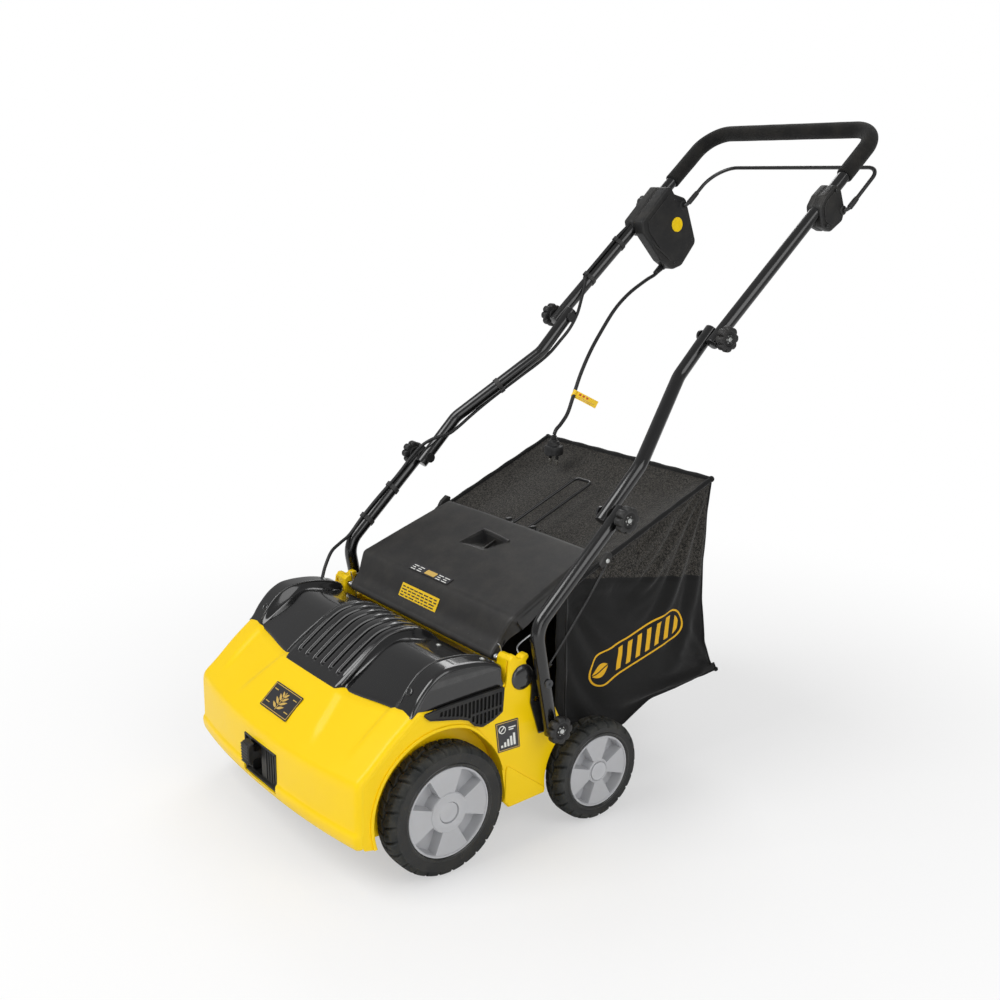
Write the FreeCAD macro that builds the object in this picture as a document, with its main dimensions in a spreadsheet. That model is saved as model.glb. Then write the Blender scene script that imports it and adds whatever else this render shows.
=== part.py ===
import FreeCAD, Part
import math
import os
import Sketcher

# Electric lawn dethatcher: a wheeled deck with a transverse bladed rotor driven by a motor through
# a belt, a cranked front axle for the working depth, a rear deflector flap, a collection bag and
# a three-section tubular handle with a switch box and bail.
#
# Frame: X across the machine, +Y from the nose towards the handle, +Z up, wheels standing on Z = 0.
# "Right" is the +X side, as seen from in front of the nose. Every piece is drawn with Y = 0 at the
# front wheel axle; place() then moves it by frame_shift_y.

Vector, Rotation, Placement = FreeCAD.Vector, FreeCAD.Rotation, FreeCAD.Placement

doc = FreeCAD.newDocument("LawnDethatcher")

# Driving dimensions, mm (blade_count and knob_lobes are counts)
dim = {
    "frame_shift_y": -407.5,
    # hood and top cover
    "hood_half_width": 254.0, "hood_wall": 4.0, "cover_half_width": 251.0, "cover_wall": 3.5,
    # wheels, axles and the wells over the wheels
    "front_wheel_radius": 100.0, "front_rim_radius": 70.0,
    "front_wheel_width": 45.0, "front_wheel_x": 250.5,
    "rear_wheel_radius": 81.7, "rear_rim_radius": 58.5,
    "rear_wheel_width": 41.0, "rear_wheel_x": 259.5,
    "rear_axle_y": 280.4, "rear_axle_z": 81.7,
    "front_well_radius": 116.0, "rear_well_radius": 90.0, "well_inner_x": 221.0,
    "axle_radius": 6.0, "axle_bore_radius": 6.05, "crank_y": -60.0, "crank_z": 112.0,
    # rotor and chassis
    "rotor_y": 120.0, "rotor_z": 86.0, "rotor_shaft_radius": 7.45,
    "bearing_bore_radius": 7.5, "bearing_outer_radius": 17.48,
    "bearing_seat_radius": 17.5, "bearing_width": 11.0,
    "blade_tip_radius": 79.0, "blade_thickness": 2.0, "blade_pitch": 21.0, "blade_count": 17,
    "spacer_radius": 13.0, "tunnel_radius": 96.0, "tunnel_wall": 4.0,
    "plate_thickness": 12.0, "plate_right_x": 194.0, "plate_left_x": -190.0,
    # motor and belt drive
    "motor_y": 13.0, "motor_z": 199.0, "motor_can_radius": 45.0, "motor_can_wall": 3.5,
    "motor_length": 168.0, "motor_shaft_radius": 5.96,
    "motor_pulley_radius": 14.0, "rotor_pulley_radius": 35.0, "pulley_width": 12.0,
    "belt_width": 9.0, "belt_thickness": 3.0, "belt_gap": 0.1,
    # handle
    "tube_radius": 11.0, "tube_wall": 1.5, "tube_bend_radius": 45.0, "grip_bend_radius": 52.0,
    "lower_tube_x": 268.4, "middle_tube_x": 246.0, "middle_top_x": 178.0, "upper_tube_x": 200.5,
    "deck_knob_y": 188.0, "deck_knob_z": 183.0, "rivet_y": 175.0, "rivet_z": 257.0,
    "lower_joint_y": 314.0, "lower_joint_z": 488.0,
    "upper_joint_y": 588.0, "upper_joint_z": 729.5,
    "grip_corner_y": 978.0, "grip_corner_z": 1062.6,
    "bolt_radius": 4.0, "bolt_hole_radius": 4.06, "bolt_head_radius": 9.0,
    "knob_radius": 21.5, "knob_thickness": 14.0, "knob_lobes": 8,
    "foam_radius": 14.5, "foam_bore_radius": 11.06,
    "bail_rod_radius": 3.5, "bail_y": 868.0, "bail_z": 927.0, "bail_bore_radius": 3.56,
    "button_radius": 9.0,
    # flap and bag
    "hinge_y": 131.0, "hinge_z": 288.0, "hinge_rod_radius": 3.0, "hinge_bore_radius": 3.05,
    "flap_barrel_radius": 7.0, "flap_barrel_length": 410.0,
    "bag_half_width": 214.0, "bag_wall": 3.0, "bag_wire_radius": 2.5,
    "bag_handle_y": 341.0, "bag_handle_z": 409.0,
    # mains cord and plug
    "cord_radius": 3.5, "plug_radius": 17.5, "plug_length": 36.0,
    "pin_radius": 2.4, "pin_length": 19.0, "pin_spacing": 19.0,
}
sheet = doc.addObject("Spreadsheet::Sheet", "Sheet")
for row, (alias, number) in enumerate(dim.items(), 1):
    sheet.set("A%d" % row, alias)
    sheet.set("B%d" % row, str(number))
    sheet.setAlias("B%d" % row, alias)
doc.recompute()

SIDES = (-1, 1)
TO_X = Rotation(Vector(0, 1, 0), 90)
UPRIGHT = Rotation()

nodes = []
name_count = 0


def new(type_id, stem):
    """Add a document object under a numbered name."""
    global name_count
    name_count += 1
    return doc.addObject(type_id, "%s_%d" % (stem, name_count))


def value(item):
    """A size is given either as a number or as the alias of a driving dimension."""
    return dim[item] if isinstance(item, str) else float(item)


def bind(obj, prop, item):
    """Tie a property to the sheet when the size is an alias."""
    if isinstance(item, str):
        obj.setExpression(prop, "Sheet." + item)


def place(obj, label):
    """Name a finished piece and carry it to the machine's frame."""
    if obj.TypeId in ("Part::Cylinder", "Part::Feature"):
        obj = group(obj)
    obj.Label = label
    obj.Placement = Placement(Vector(0, dim["frame_shift_y"], 0), Rotation())
    bind(obj, "Placement.Base.y", "frame_shift_y")
    nodes.append(obj)


def span(side, inner_x, outer_x):
    """X range between two distances from the middle, on the side +1 or -1, low end first."""
    return (inner_x, outer_x) if side > 0 else (-outer_x, -inner_x)


# ---------------------------------------------------------------- Part primitives and booleans

def cylinder(radius, height, x, y, z, rotation=TO_X):
    """Cylinder from the centre of its low end; every size is a number or an alias."""
    solid = new("Part::Cylinder", "Cylinder")
    solid.Radius = value(radius)
    solid.Height = value(height)
    bind(solid, "Radius", radius)
    bind(solid, "Height", height)
    solid.Placement = Placement(Vector(value(x), value(y), value(z)), rotation)
    for axis, item in (("x", x), ("y", y), ("z", z)):
        bind(solid, "Placement.Base." + axis, item)
    return solid


def bar(radius, x_span, y, z):
    """Cylinder along X over an X range."""
    return cylinder(radius, x_span[1] - x_span[0], x_span[0], y, z)


def box(x_span, y_span, z_span):
    solid = new("Part::Box", "Box")
    solid.Length, solid.Width, solid.Height = [high - low for low, high in (x_span, y_span, z_span)]
    solid.Placement = Placement(Vector(x_span[0], y_span[0], z_span[0]), Rotation())
    return solid


def fuse(*items):
    result = new("Part::MultiFuse", "Fuse")
    result.Shapes = list(items)
    return result


def cut(base, *tools):
    result = new("Part::Cut", "Cut")
    result.Base = base
    result.Tool = tools[0] if len(tools) == 1 else fuse(*tools)
    return result


def common(*items):
    result = new("Part::MultiCommon", "Common")
    result.Shapes = list(items)
    return result


def group(*items):
    result = new("Part::Compound", "Group")
    result.Links = list(items)
    return result


def ring(outer, inner, height, x, y, z):
    return cut(cylinder(outer, height, x, y, z), cylinder(inner, height, x, y, z))


def feature(shape):
    """Document object that holds a computed shape."""
    holder = new("Part::Feature", "Shape")
    holder.Shape = shape
    return holder


# ---------------------------------------------------------------- PartDesign helpers

def origin_item(body, role):
    return [item for item in body.Origin.OriginFeatures if item.Role == role][0]


def constrain(profile, arguments, item):
    """Add a dimension constraint, tied to the sheet when its size is an alias."""
    index = profile.addConstraint(Sketcher.Constraint(*arguments, value(item)))
    bind(profile, "Constraints[%d]" % index, item)


def sketch(body, role, polygons=(), circles=(), offset=0.0):
    """Closed polygons and (x, y, radius) circles, every corner and centre held from the origin."""
    profile = body.newObject("Sketcher::SketchObject", "Sketch")
    profile.AttachmentSupport = [(origin_item(body, role), "")]
    profile.MapMode = "FlatFace"
    profile.AttachmentOffset = Placement(Vector(0, 0, value(offset)), Rotation())
    bind(profile, "AttachmentOffset.Base.z", offset)
    for polygon in polygons:
        corners = [Vector(value(x), value(y), 0) for x, y in polygon]
        first = profile.GeometryCount
        total = len(corners)
        for i in range(total):
            line = Part.LineSegment(corners[i], corners[(i + 1) % total])
            profile.addGeometry(line, False)
        for i in range(total):
            profile.addConstraint(Sketcher.Constraint(
                "Coincident", first + i, 2, first + (i + 1) % total, 1))
        for i, (x, y) in enumerate(polygon):
            constrain(profile, ("DistanceX", -1, 1, first + i, 1), x)
            constrain(profile, ("DistanceY", -1, 1, first + i, 1), y)
    for x, y, radius in circles:
        circle = Part.Circle(Vector(value(x), value(y), 0), Vector(0, 0, 1), value(radius))
        index = profile.addGeometry(circle, False)
        constrain(profile, ("Radius", index), radius)
        constrain(profile, ("DistanceX", -1, 1, index, 3), x)
        constrain(profile, ("DistanceY", -1, 1, index, 3), y)
    return profile


def pad(body, profile, length):
    result = body.newObject("PartDesign::Pad", "Pad")
    result.Profile = profile
    result.Length = value(length)
    bind(result, "Length", length)
    profile.Visibility = False


def pocket(body, profile, length):
    """A pocket, turned round if its first direction takes nothing away."""
    doc.recompute()
    before = body.Shape.Volume
    result = body.newObject("PartDesign::Pocket", "Pocket")
    result.Profile = profile
    result.Length = length
    doc.recompute()
    if not result.Shape.isValid() or body.Shape.Volume > before - 0.5:
        result.Reversed = not result.Reversed
        doc.recompute()
    if body.Shape.Volume > before - 0.5:
        raise RuntimeError("pocket cuts nothing in " + body.Name)
    return result


def polar(body, original, times):
    """Repeat a feature round the body's X axis."""
    pattern = body.newObject("PartDesign::PolarPattern", "Polar")
    pattern.Originals = [original]
    pattern.Axis = (origin_item(body, "X_Axis"), [""])
    pattern.Angle = 360
    pattern.Occurrences = int(value(times))
    bind(pattern, "Occurrences", times)
    body.Tip = pattern
    doc.recompute()


def revolve(body, section):
    """Turn a section in the XZ plane round the body's X axis."""
    profile = sketch(body, "XZ_Plane", [section])
    result = body.newObject("PartDesign::Revolution", "Revolution")
    result.Profile = profile
    result.ReferenceAxis = (profile, ["H_Axis"])
    result.Angle = 360


def prism(role, points, start, length, holes=()):
    """Polygon with round holes in an origin plane, padded from an offset along the normal."""
    body = new("PartDesign::Body", "Body")
    pad(body, sketch(body, role, [points], holes, start), length)
    return body


def side_prism(points, x_span, holes=()):
    """Polygon in the side view (Y, Z), over an X range."""
    return prism("YZ_Plane", points, x_span[0], x_span[1] - x_span[0], holes)


def plan_prism(points, z_span):
    """Polygon in the plan view (X, Y), over a Z range."""
    return prism("XY_Plane", points, z_span[0], z_span[1] - z_span[0])


def inset(points, distance):
    """A counter-clockwise polygon with every edge moved inwards."""
    lines = []
    for i, (x, y) in enumerate(points):
        next_x, next_y = points[(i + 1) % len(points)]
        run_x, run_y = next_x - x, next_y - y
        length = math.hypot(run_x, run_y)
        lines.append((x - run_y / length * distance, y + run_x / length * distance, run_x, run_y))
    corners = []
    for i, (x2, y2, run_x2, run_y2) in enumerate(lines):
        x1, y1, run_x1, run_y1 = lines[i - 1]
        cross = run_x1 * run_y2 - run_y1 * run_x2
        along = ((x2 - x1) * run_y2 - (y2 - y1) * run_x2) / cross
        corners.append((x1 + run_x1 * along, y1 + run_y1 * along))
    return corners


def outboard(body, side, x, y, z):
    """Set a body on one side of the machine with its own +X facing outwards."""
    turn = Rotation(Vector(0, 0, 1), 0 if side > 0 else 180)
    body.Placement = Placement(Vector(side * x, y, z), turn)
    return group(body)


# ---------------------------------------------------------------- bent tubes and wires

def spine(points, radius):
    """Polyline with every inner corner rounded; one smooth wire."""
    corners = [Vector(*point) for point in points]
    edges = []
    reached = corners[0]
    for before, corner, after in zip(corners, corners[1:], corners[2:]):
        back = (before - corner).normalize()
        ahead = (after - corner).normalize()
        half_angle = math.acos(max(-1, min(1, back.dot(ahead)))) / 2
        run = radius / math.tan(half_angle)
        start, end = corner + back * run, corner + ahead * run
        inward = (back + ahead).normalize()
        middle = corner + inward * (radius / math.sin(half_angle) - radius)
        edges.append(Part.LineSegment(reached, start).toShape())
        edges.append(Part.Arc(start, middle, end).toShape())
        reached = end
    edges.append(Part.LineSegment(reached, corners[-1]).toShape())
    return Part.Wire(edges)


def sweep(points, bend, radius):
    """Round rod along a bent centre line."""
    path = feature(spine(points, bend))
    circle = new("Part::Circle", "Section")
    circle.Radius = value(radius)
    bind(circle, "Radius", radius)
    start = Vector(*points[0])
    direction = Vector(*points[1]) - start
    circle.Placement = Placement(start, Rotation(Vector(0, 0, 1), direction))
    rod = new("Part::Sweep", "Sweep")
    rod.Sections = [circle]
    rod.Spine = (path, ["Edge%d" % (i + 1) for i in range(len(path.Shape.Edges))])
    rod.Solid = True
    rod.Frenet = False
    rod.Transition = "Round corner"
    return rod


def hollow_tube(points, bend):
    """Handle tube; the bore runs past both ends so that they come out open."""
    overrun = 2
    start, second = Vector(*points[0]), Vector(*points[1])
    last_but_one, end = Vector(*points[-2]), Vector(*points[-1])
    bore_start = start - (second - start).normalize() * overrun
    bore_end = end + (end - last_but_one).normalize() * overrun
    bore_points = [tuple(bore_start)] + list(points[1:-1]) + [tuple(bore_end)]
    return cut(sweep(points, bend, "tube_radius"),
               sweep(bore_points, bend, dim["tube_radius"] - dim["tube_wall"]))


# ---------------------------------------------------------------- hood: one moulded shell

# Side outline (Y, Z) and plan outline (X, Y)
HOOD_SIDE = [(-152, 76), (228, 66), (236, 140), (236, 159), (222, 175), (212, 194), (188, 240),
             (158, 264), (150, 297), (122, 298), (116, 262), (-38, 256), (-74, 234), (-160, 172),
             (-160, 100)]
HOOD_FRONT = [(-254, -128), (-200, -146), (-60, -160), (60, -160), (200, -146), (254, -128)]
HOOD_REAR_Y, CAVITY_REAR_Y = 240, 300
FRONT_WELL_Z = 106
BRACKET_HOLE = (170, 226)                       # Y, Z of the plain hole in bracket and hood
COVER_SCREW_X = (-232, -120, 120, 232)
COVER_SCREW_Y = 100
PILOT_RADIUS = 1.7


def hood_plan(rear_y):
    half = dim["hood_half_width"]
    return HOOD_FRONT + [(half, rear_y), (-half, rear_y)]


def hood_cavity():
    wall, half = dim["hood_wall"], dim["hood_half_width"]
    side = inset(HOOD_SIDE, wall)
    # The shell is open underneath and at the lower rear edge
    side[0] = (side[0][0], 40)
    side[1] = (side[1][0] + 20, 40)
    side[2:5] = [(256, 140), (256, 159), (222, 171)]
    cavity = common(side_prism(side, (wall - half, half - wall)),
                    plan_prism(inset(hood_plan(CAVITY_REAR_Y), wall), (30, 330)))
    linings = []
    for s in SIDES:
        x_span = span(s, dim["well_inner_x"], 262)
        linings.append(bar(dim["front_well_radius"] + wall, x_span, 0, FRONT_WELL_Z))
        linings.append(bar(dim["rear_well_radius"] + wall, x_span, "rear_axle_y", "rear_axle_z"))
    return cut(cavity, *linings)


def hood():
    half = dim["hood_half_width"]
    outer = common(side_prism(HOOD_SIDE, (-half, half)),
                   plan_prism(hood_plan(HOOD_REAR_Y), (40, 320)))
    tools = [hood_cavity()]
    for s in SIDES:
        well = span(s, dim["well_inner_x"] + dim["hood_wall"], 265)
        side_wall = span(s, 246, 256)
        tools.append(bar("front_well_radius", well, 0, FRONT_WELL_Z))
        tools.append(bar("rear_well_radius", well, "rear_axle_y", "rear_axle_z"))
        tools.append(bar(24, span(s, 218, 228), 0, 108.5))      # front axle opening
        tools.append(bar("bolt_hole_radius", side_wall, "deck_knob_y", "deck_knob_z"))
        tools.append(bar("bolt_hole_radius", side_wall, *BRACKET_HOLE))
    tools.append(box((-222, 222), (116.5, 160), (262, 305)))    # opening at the flap hinge
    tools.append(bar("hinge_bore_radius", (-240, 240), "hinge_y", "hinge_z"))
    tools.append(box((-52, 52), (-170, -140), (88, 152)))       # opening for the depth gate
    for x in COVER_SCREW_X:
        tools.append(cylinder(PILOT_RADIUS, 24, x, COVER_SCREW_Y, 246, UPRIGHT))
    return cut(outer, *tools)


def depth_gate():
    """Slotted plate in the nose, the gate of the depth lever."""
    outline = [(-158.2, 88.3), (-155.2, 88.3), (-155.2, 151.7), (-158.2, 151.7)]
    slot = box((-38, -6), (-170, -140), (84, 148))
    return cut(side_prism(outline, (-51.7, 51.7)), slot)


place(hood(), "hood")
place(depth_gate(), "depth_gate")

# ---------------------------------------------------------------- top cover and side grilles

# Side outlines (Y, Z)
COVER_SIDE = [(-73, 235.8), (-38, 257), (115, 263), (113, 292), (70, 307), (23, 308), (-38, 271),
              (-71, 246)]
VENT_SIDE = [(-25, 252), (32, 232), (64, 208), (107, 222), (107, 254), (48, 254)]


def top_cover():
    """Shell open underneath, with cooling slots across its top and four screw seats."""
    half, wall = dim["cover_half_width"], dim["cover_wall"]
    inner = inset(COVER_SIDE, wall)
    inner[0] = (inner[0][0] + 3, 228)
    inner[1] = (-38, 240)
    inner[2] = (inner[2][0], 250)
    slot_x, slot_pitch, slot_width = -63, 19, 8
    slots = []
    for i in range(7):
        x = slot_x + i * slot_pitch
        slots.append(box((x, x + slot_width), (-20, 66), (255, 320)))
    cover = cut(side_prism(COVER_SIDE, (-half, half)),
                side_prism(inner, (wall - half, half - wall)), *slots)
    seats = []
    for x in COVER_SCREW_X:
        seats.append(cylinder(PILOT_RADIUS, 50, x, COVER_SCREW_Y, 250, UPRIGHT))
        seats.append(cylinder(3.6, 12, x, COVER_SCREW_Y, 294.4, UPRIGHT))
    return cut(cover, *seats)


def cover_screws():
    """Flat-headed screws through the cover's rear edge into the hood."""
    return group(*[fuse(cylinder(3.4, 2, x, COVER_SCREW_Y, 294.5, UPRIGHT),
                        cylinder(1.6, 46, x, COVER_SCREW_Y, 250, UPRIGHT))
                   for x in COVER_SCREW_X])


def side_vents():
    """Grilles on the hood's sides: five stepped slots below, eight level slots above."""
    slot_pitch, slot_width = 8, 4
    vents = []
    for s in SIDES:
        through = span(s, 253.2, 259.2)
        slots = []
        for i in range(5):
            y = 56 + slot_pitch * i
            slots.append(box(through, (y, y + slot_width), (219 + 1.5 * i, 231 + i)))
        for i in range(8):
            y = 36 + slot_pitch * i
            slots.append(box(through, (y, y + slot_width), (238, 249)))
        vents.append(cut(side_prism(VENT_SIDE, span(s, 254.2, 258.2)), *slots))
    return group(*vents)


place(top_cover(), "top_cover")
place(cover_screws(), "cover_screws")
place(side_vents(), "side_vents")

# ---------------------------------------------------------------- chassis and rotor bearings

# Bearing plate outline (Y, Z)
PLATE_SIDE = [(-74, 98), (-50, 96), (24, 64), (200, 64), (228, 70), (262, 66), (296, 66),
              (296, 97), (240, 112), (200, 168), (120, 186), (40, 182), (24, 142), (-50, 127),
              (-74, 125)]
PLATES = ("plate_right_x", "plate_left_x")      # aliases of the plates' low X faces


def chassis():
    """Rotor tunnel, open below and at the lower rear, between two bearing plates."""
    holes = [("rotor_y", "rotor_z", "bearing_seat_radius"),
             ("crank_y", "crank_z", "axle_bore_radius"),
             ("rear_axle_y", "rear_axle_z", "axle_bore_radius")]
    plates = [prism("YZ_Plane", PLATE_SIDE, name, "plate_thickness", holes) for name in PLATES]
    left = dim["plate_left_x"] + dim["plate_thickness"]
    right = dim["plate_right_x"]
    trim = (left - 2, right + 2)
    tunnel = cut(bar("tunnel_radius", (left, right), "rotor_y", "rotor_z"),
                 bar(dim["tunnel_radius"] - dim["tunnel_wall"], (left - 1, right + 1),
                     "rotor_y", "rotor_z"),
                 box(trim, (20, 230), (-20, 66)), box(trim, (176, 230), (60, 200)))
    return fuse(tunnel, *plates)


def rotor_bearings():
    end_gap = (dim["plate_thickness"] - dim["bearing_width"]) / 2
    return group(*[ring("bearing_outer_radius", "bearing_bore_radius", "bearing_width",
                        dim[name] + end_gap, "rotor_y", "rotor_z") for name in PLATES])


place(chassis(), "chassis")
place(rotor_bearings(), "rotor_bearings")

# ---------------------------------------------------------------- rotor: shaft, blades, spacers

SHAFT_END_X = 207.0
FIRST_BLADE_X = -dim["blade_pitch"] * (dim["blade_count"] - 1) / 2


def thatch_blades():
    """Three-armed blades along the shaft, every second one turned by 60 degrees."""
    tip = dim["blade_tip_radius"]
    # One arm: distance along it from the axis, distance across it
    arm = [(16, -14), (58, -13), (tip, -2), (tip - 3, 6), (40, 9), (16, 14)]
    outline = []
    for degrees in (90, 210, 330):
        cosine, sine = math.cos(math.radians(degrees)), math.sin(math.radians(degrees))
        for along, across in arm:
            outline.append((cosine * along - sine * across, sine * along + cosine * across))
    pattern = prism("YZ_Plane", outline, 0, "blade_thickness", [(0, 0, "bearing_bore_radius")])
    pattern.Label = "blade_pattern"
    doc.recompute()
    copies = []
    for i in range(dim["blade_count"]):
        blade = pattern.Shape.copy()
        x = FIRST_BLADE_X + i * dim["blade_pitch"]
        blade.Placement = Placement(Vector(x, dim["rotor_y"], dim["rotor_z"]),
                                    Rotation(Vector(1, 0, 0), (i % 2) * 60))
        copies.append(blade)
    return feature(Part.makeCompound(copies))


def blade_spacers():
    gap = 0.05
    length = dim["blade_pitch"] - dim["blade_thickness"] - 2 * gap
    start = FIRST_BLADE_X + dim["blade_thickness"] + gap
    return group(*[ring("spacer_radius", "bearing_bore_radius", length,
                        start + i * dim["blade_pitch"], "rotor_y", "rotor_z")
                   for i in range(dim["blade_count"] - 1)])


place(bar("rotor_shaft_radius", (-SHAFT_END_X, SHAFT_END_X), "rotor_y", "rotor_z"), "rotor_shaft")
place(thatch_blades(), "thatch_blades")
place(blade_spacers(), "blade_spacers")

# ---------------------------------------------------------------- motor, pulleys and belt

PULLEY_X = -206.0
MOTOR_BORE_RADIUS = dim["motor_shaft_radius"] + 0.01


def pulley(radius, bore, y, z, hole_count):
    """Plain pulley between two thin flanges, with a circle of round holes."""
    width = dim["pulley_width"]
    flange_radius, flange_width, proud = dim[radius] + 2.6, 1.0, 0.01
    far_flange_x = PULLEY_X + width - flange_width + proud
    body = fuse(cylinder(radius, "pulley_width", PULLEY_X, y, z),
                cylinder(flange_radius, flange_width, PULLEY_X - proud, y, z),
                cylinder(flange_radius, flange_width, far_flange_x, y, z))
    through = (PULLEY_X - 1, PULLEY_X + width + 1)
    holes = [bar(bore, through, y, z)]
    hole_radius, circle_radius = 6, 22
    for k in range(hole_count):
        angle = 2 * math.pi * k / hole_count
        holes.append(bar(hole_radius, through, dim[y] + circle_radius * math.cos(angle),
                         dim[z] + circle_radius * math.sin(angle)))
    return cut(body, *holes)


def motor_bar(radius, x_span):
    return bar(radius, x_span, dim["motor_y"], dim["motor_z"])


def motor_housing():
    """Hollow can with a shaft bore and two slots that run through it from top to bottom."""
    y, z = dim["motor_y"], dim["motor_z"]
    start, end = -176, -176 + dim["motor_length"]
    cap = 5
    slots = [box((-30, -18), (y + offset - 4, y + offset + 4), (z - 60, z + 60))
             for offset in (20, -20)]
    return cut(cylinder("motor_can_radius", "motor_length", start, y, z),
               motor_bar(dim["motor_can_radius"] - dim["motor_can_wall"],
                         (start + cap, end - cap)),
               motor_bar(6.0, (-190, 10)), *slots)


def motor_armature():
    return fuse(motor_bar("motor_shaft_radius", (-SHAFT_END_X, -3)),
                motor_bar(30, (-160, -64)), motor_bar(20, (-58, -38)))


def cooling_fan():
    """Hub and disc with nine radial vanes."""
    start, end, outer_radius, vane_start, vane_count = -32, -18, 37, -30.5, 9
    parts = [motor_bar(12, (start, end)), motor_bar(outer_radius, (start, start + 2))]
    for k in range(vane_count):
        vane = box((0, end - vane_start), (-1.2, 1.2), (10, outer_radius))
        turned = Placement(Vector(vane_start, dim["motor_y"], dim["motor_z"]),
                           Rotation(Vector(1, 0, 0), 360.0 * k / vane_count))
        vane.Placement = turned.multiply(vane.Placement)
        parts.append(vane)
    return cut(fuse(*parts), motor_bar(MOTOR_BORE_RADIUS, (-40, -10)))


def belt_loop(motor_radius, rotor_radius, length):
    """Solid along +X from X = 0: two arcs round the motor and rotor axes, and their tangents."""
    motor = Vector(0, dim["motor_y"], dim["motor_z"])
    rotor = Vector(0, dim["rotor_y"], dim["rotor_z"])
    line = rotor - motor
    base = math.atan2(line.z, line.y)
    offset = math.acos((motor_radius - rotor_radius) / line.Length)

    def polar_point(centre, radius, angle):
        return centre + Vector(0, radius * math.cos(angle), radius * math.sin(angle))

    motor_first = polar_point(motor, motor_radius, base + offset)
    motor_second = polar_point(motor, motor_radius, base - offset)
    rotor_first = polar_point(rotor, rotor_radius, base + offset)
    rotor_second = polar_point(rotor, rotor_radius, base - offset)
    motor_far = polar_point(motor, -motor_radius, base)
    rotor_far = polar_point(rotor, rotor_radius, base)
    edges = [Part.LineSegment(motor_first, rotor_first).toShape(),
             Part.Arc(rotor_first, rotor_far, rotor_second).toShape(),
             Part.LineSegment(rotor_second, motor_second).toShape(),
             Part.Arc(motor_second, motor_far, motor_first).toShape()]
    return Part.Face(Part.Wire(edges)).extrude(Vector(length, 0, 0))


def drive_belt():
    width = dim["belt_width"]
    motor_radius = dim["motor_pulley_radius"] + dim["belt_gap"]
    rotor_radius = dim["rotor_pulley_radius"] + dim["belt_gap"]
    thick = dim["belt_thickness"]
    shape = belt_loop(motor_radius + thick, rotor_radius + thick, width).cut(
        belt_loop(motor_radius, rotor_radius, width))
    shape.translate(Vector(PULLEY_X + (dim["pulley_width"] - width) / 2, 0, 0))
    return feature(shape)


def belt_cover():
    """Shallow cup over the belt, open towards the bearing plate."""
    wall, depth, motor_radius, rotor_radius = 2.0, 20.0, 22.0, 43.0
    hollow = belt_loop(motor_radius - wall, rotor_radius - wall, depth)
    hollow.translate(Vector(wall, 0, 0))
    shape = belt_loop(motor_radius, rotor_radius, depth).cut(hollow)
    shape.translate(Vector(-212.5, 0, 0))
    return feature(shape)


place(pulley("rotor_pulley_radius", "bearing_bore_radius", "rotor_y", "rotor_z", 5),
      "rotor_pulley")
place(motor_housing(), "motor_housing")
place(motor_armature(), "motor_armature")
place(cooling_fan(), "cooling_fan")
place(pulley("motor_pulley_radius", MOTOR_BORE_RADIUS, "motor_y", "motor_z", 0), "motor_pulley")
place(drive_belt(), "drive_belt")
place(belt_cover(), "belt_cover")

# ---------------------------------------------------------------- axles, depth lever and wheels

# Side outlines (Y, Z)
CRANK_ARM = [(-64, 103.5), (-1, 91.5), (8, 95), (8, 106), (1, 109), (-58, 121), (-68, 118),
             (-69, 107)]
LEVER_SIDE = [(-62, 101), (-52, 104), (-52, 120), (-62, 123), (-156, 134), (-166, 134),
              (-166, 150), (-177.5, 144), (-177.5, 120), (-173, 112), (-165, 112), (-165, 120),
              (-156, 120)]


def front_axle():
    """Cross bar, and on each side a crank arm with a stub that carries the wheel."""
    arm_inner, arm_outer = 208, 216
    parts = [bar("axle_radius", (-arm_outer, arm_outer), "crank_y", "crank_z")]
    for s in SIDES:
        parts.append(bar("axle_radius", span(s, arm_inner, 262), 0, "front_wheel_radius"))
        parts.append(side_prism(CRANK_ARM, span(s, arm_inner, arm_outer)))
    return fuse(*parts)


def depth_lever():
    x_span = (-34, -10)
    lever = fuse(side_prism(LEVER_SIDE, x_span), bar(12, x_span, "crank_y", "crank_z"))
    return cut(lever, bar("axle_bore_radius", (-42, -2), "crank_y", "crank_z"))


def tyre(prefix):
    """Tyre with chamfered shoulders, about its own X axis."""
    radius_name, rim_name = prefix + "_wheel_radius", prefix + "_rim_radius"
    half = dim[prefix + "_wheel_width"] / 2
    radius = dim[radius_name]
    body = new("PartDesign::Body", "Tyre")
    revolve(body, [(-half, rim_name), (half, rim_name), (half, radius - 12),
                   (half - 4, radius - 4), (half - 9, radius_name), (-half + 9, radius_name),
                   (-half + 4, radius - 4), (-half, radius - 12)])
    return body


def rim(prefix, hub_ratio):
    """Rim with a raised hub and four deep wedge pockets in its outer (+X) face."""
    half = dim[prefix + "_wheel_width"] / 2
    radius = dim[prefix + "_rim_radius"]
    seat_radius = radius - 0.05
    hub_radius = radius * hub_ratio
    inner_face = 1.5 - half
    body = new("PartDesign::Body", "Rim")
    revolve(body, [(inner_face, "axle_bore_radius"), (half - 10, "axle_bore_radius"),
                   (half - 10, 0.01), (half - 3, 0.01), (half - 3, hub_radius - 2),
                   (half - 4.5, hub_radius), (half - 4.5, radius - 5), (half - 1.5, radius - 3.5),
                   (half - 1.5, seat_radius), (inner_face, seat_radius),
                   (inner_face, radius - 5), (half - 24, radius - 5), (half - 24, 20),
                   (inner_face, 20)])
    low, high = hub_radius + 2, radius - 6
    middle, spread = 49, 19.5           # wedge direction and half opening, degrees
    wedge = []
    for distance, turn in ((low, -spread), (high, -spread), (high + 1.2, 0), (high, spread),
                           (low, spread)):
        angle = math.radians(middle + turn)
        wedge.append((distance * math.cos(angle), distance * math.sin(angle)))
    polar(body, pocket(body, sketch(body, "YZ_Plane", [wedge], offset=half + 2), 22), 4)
    return body


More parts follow.
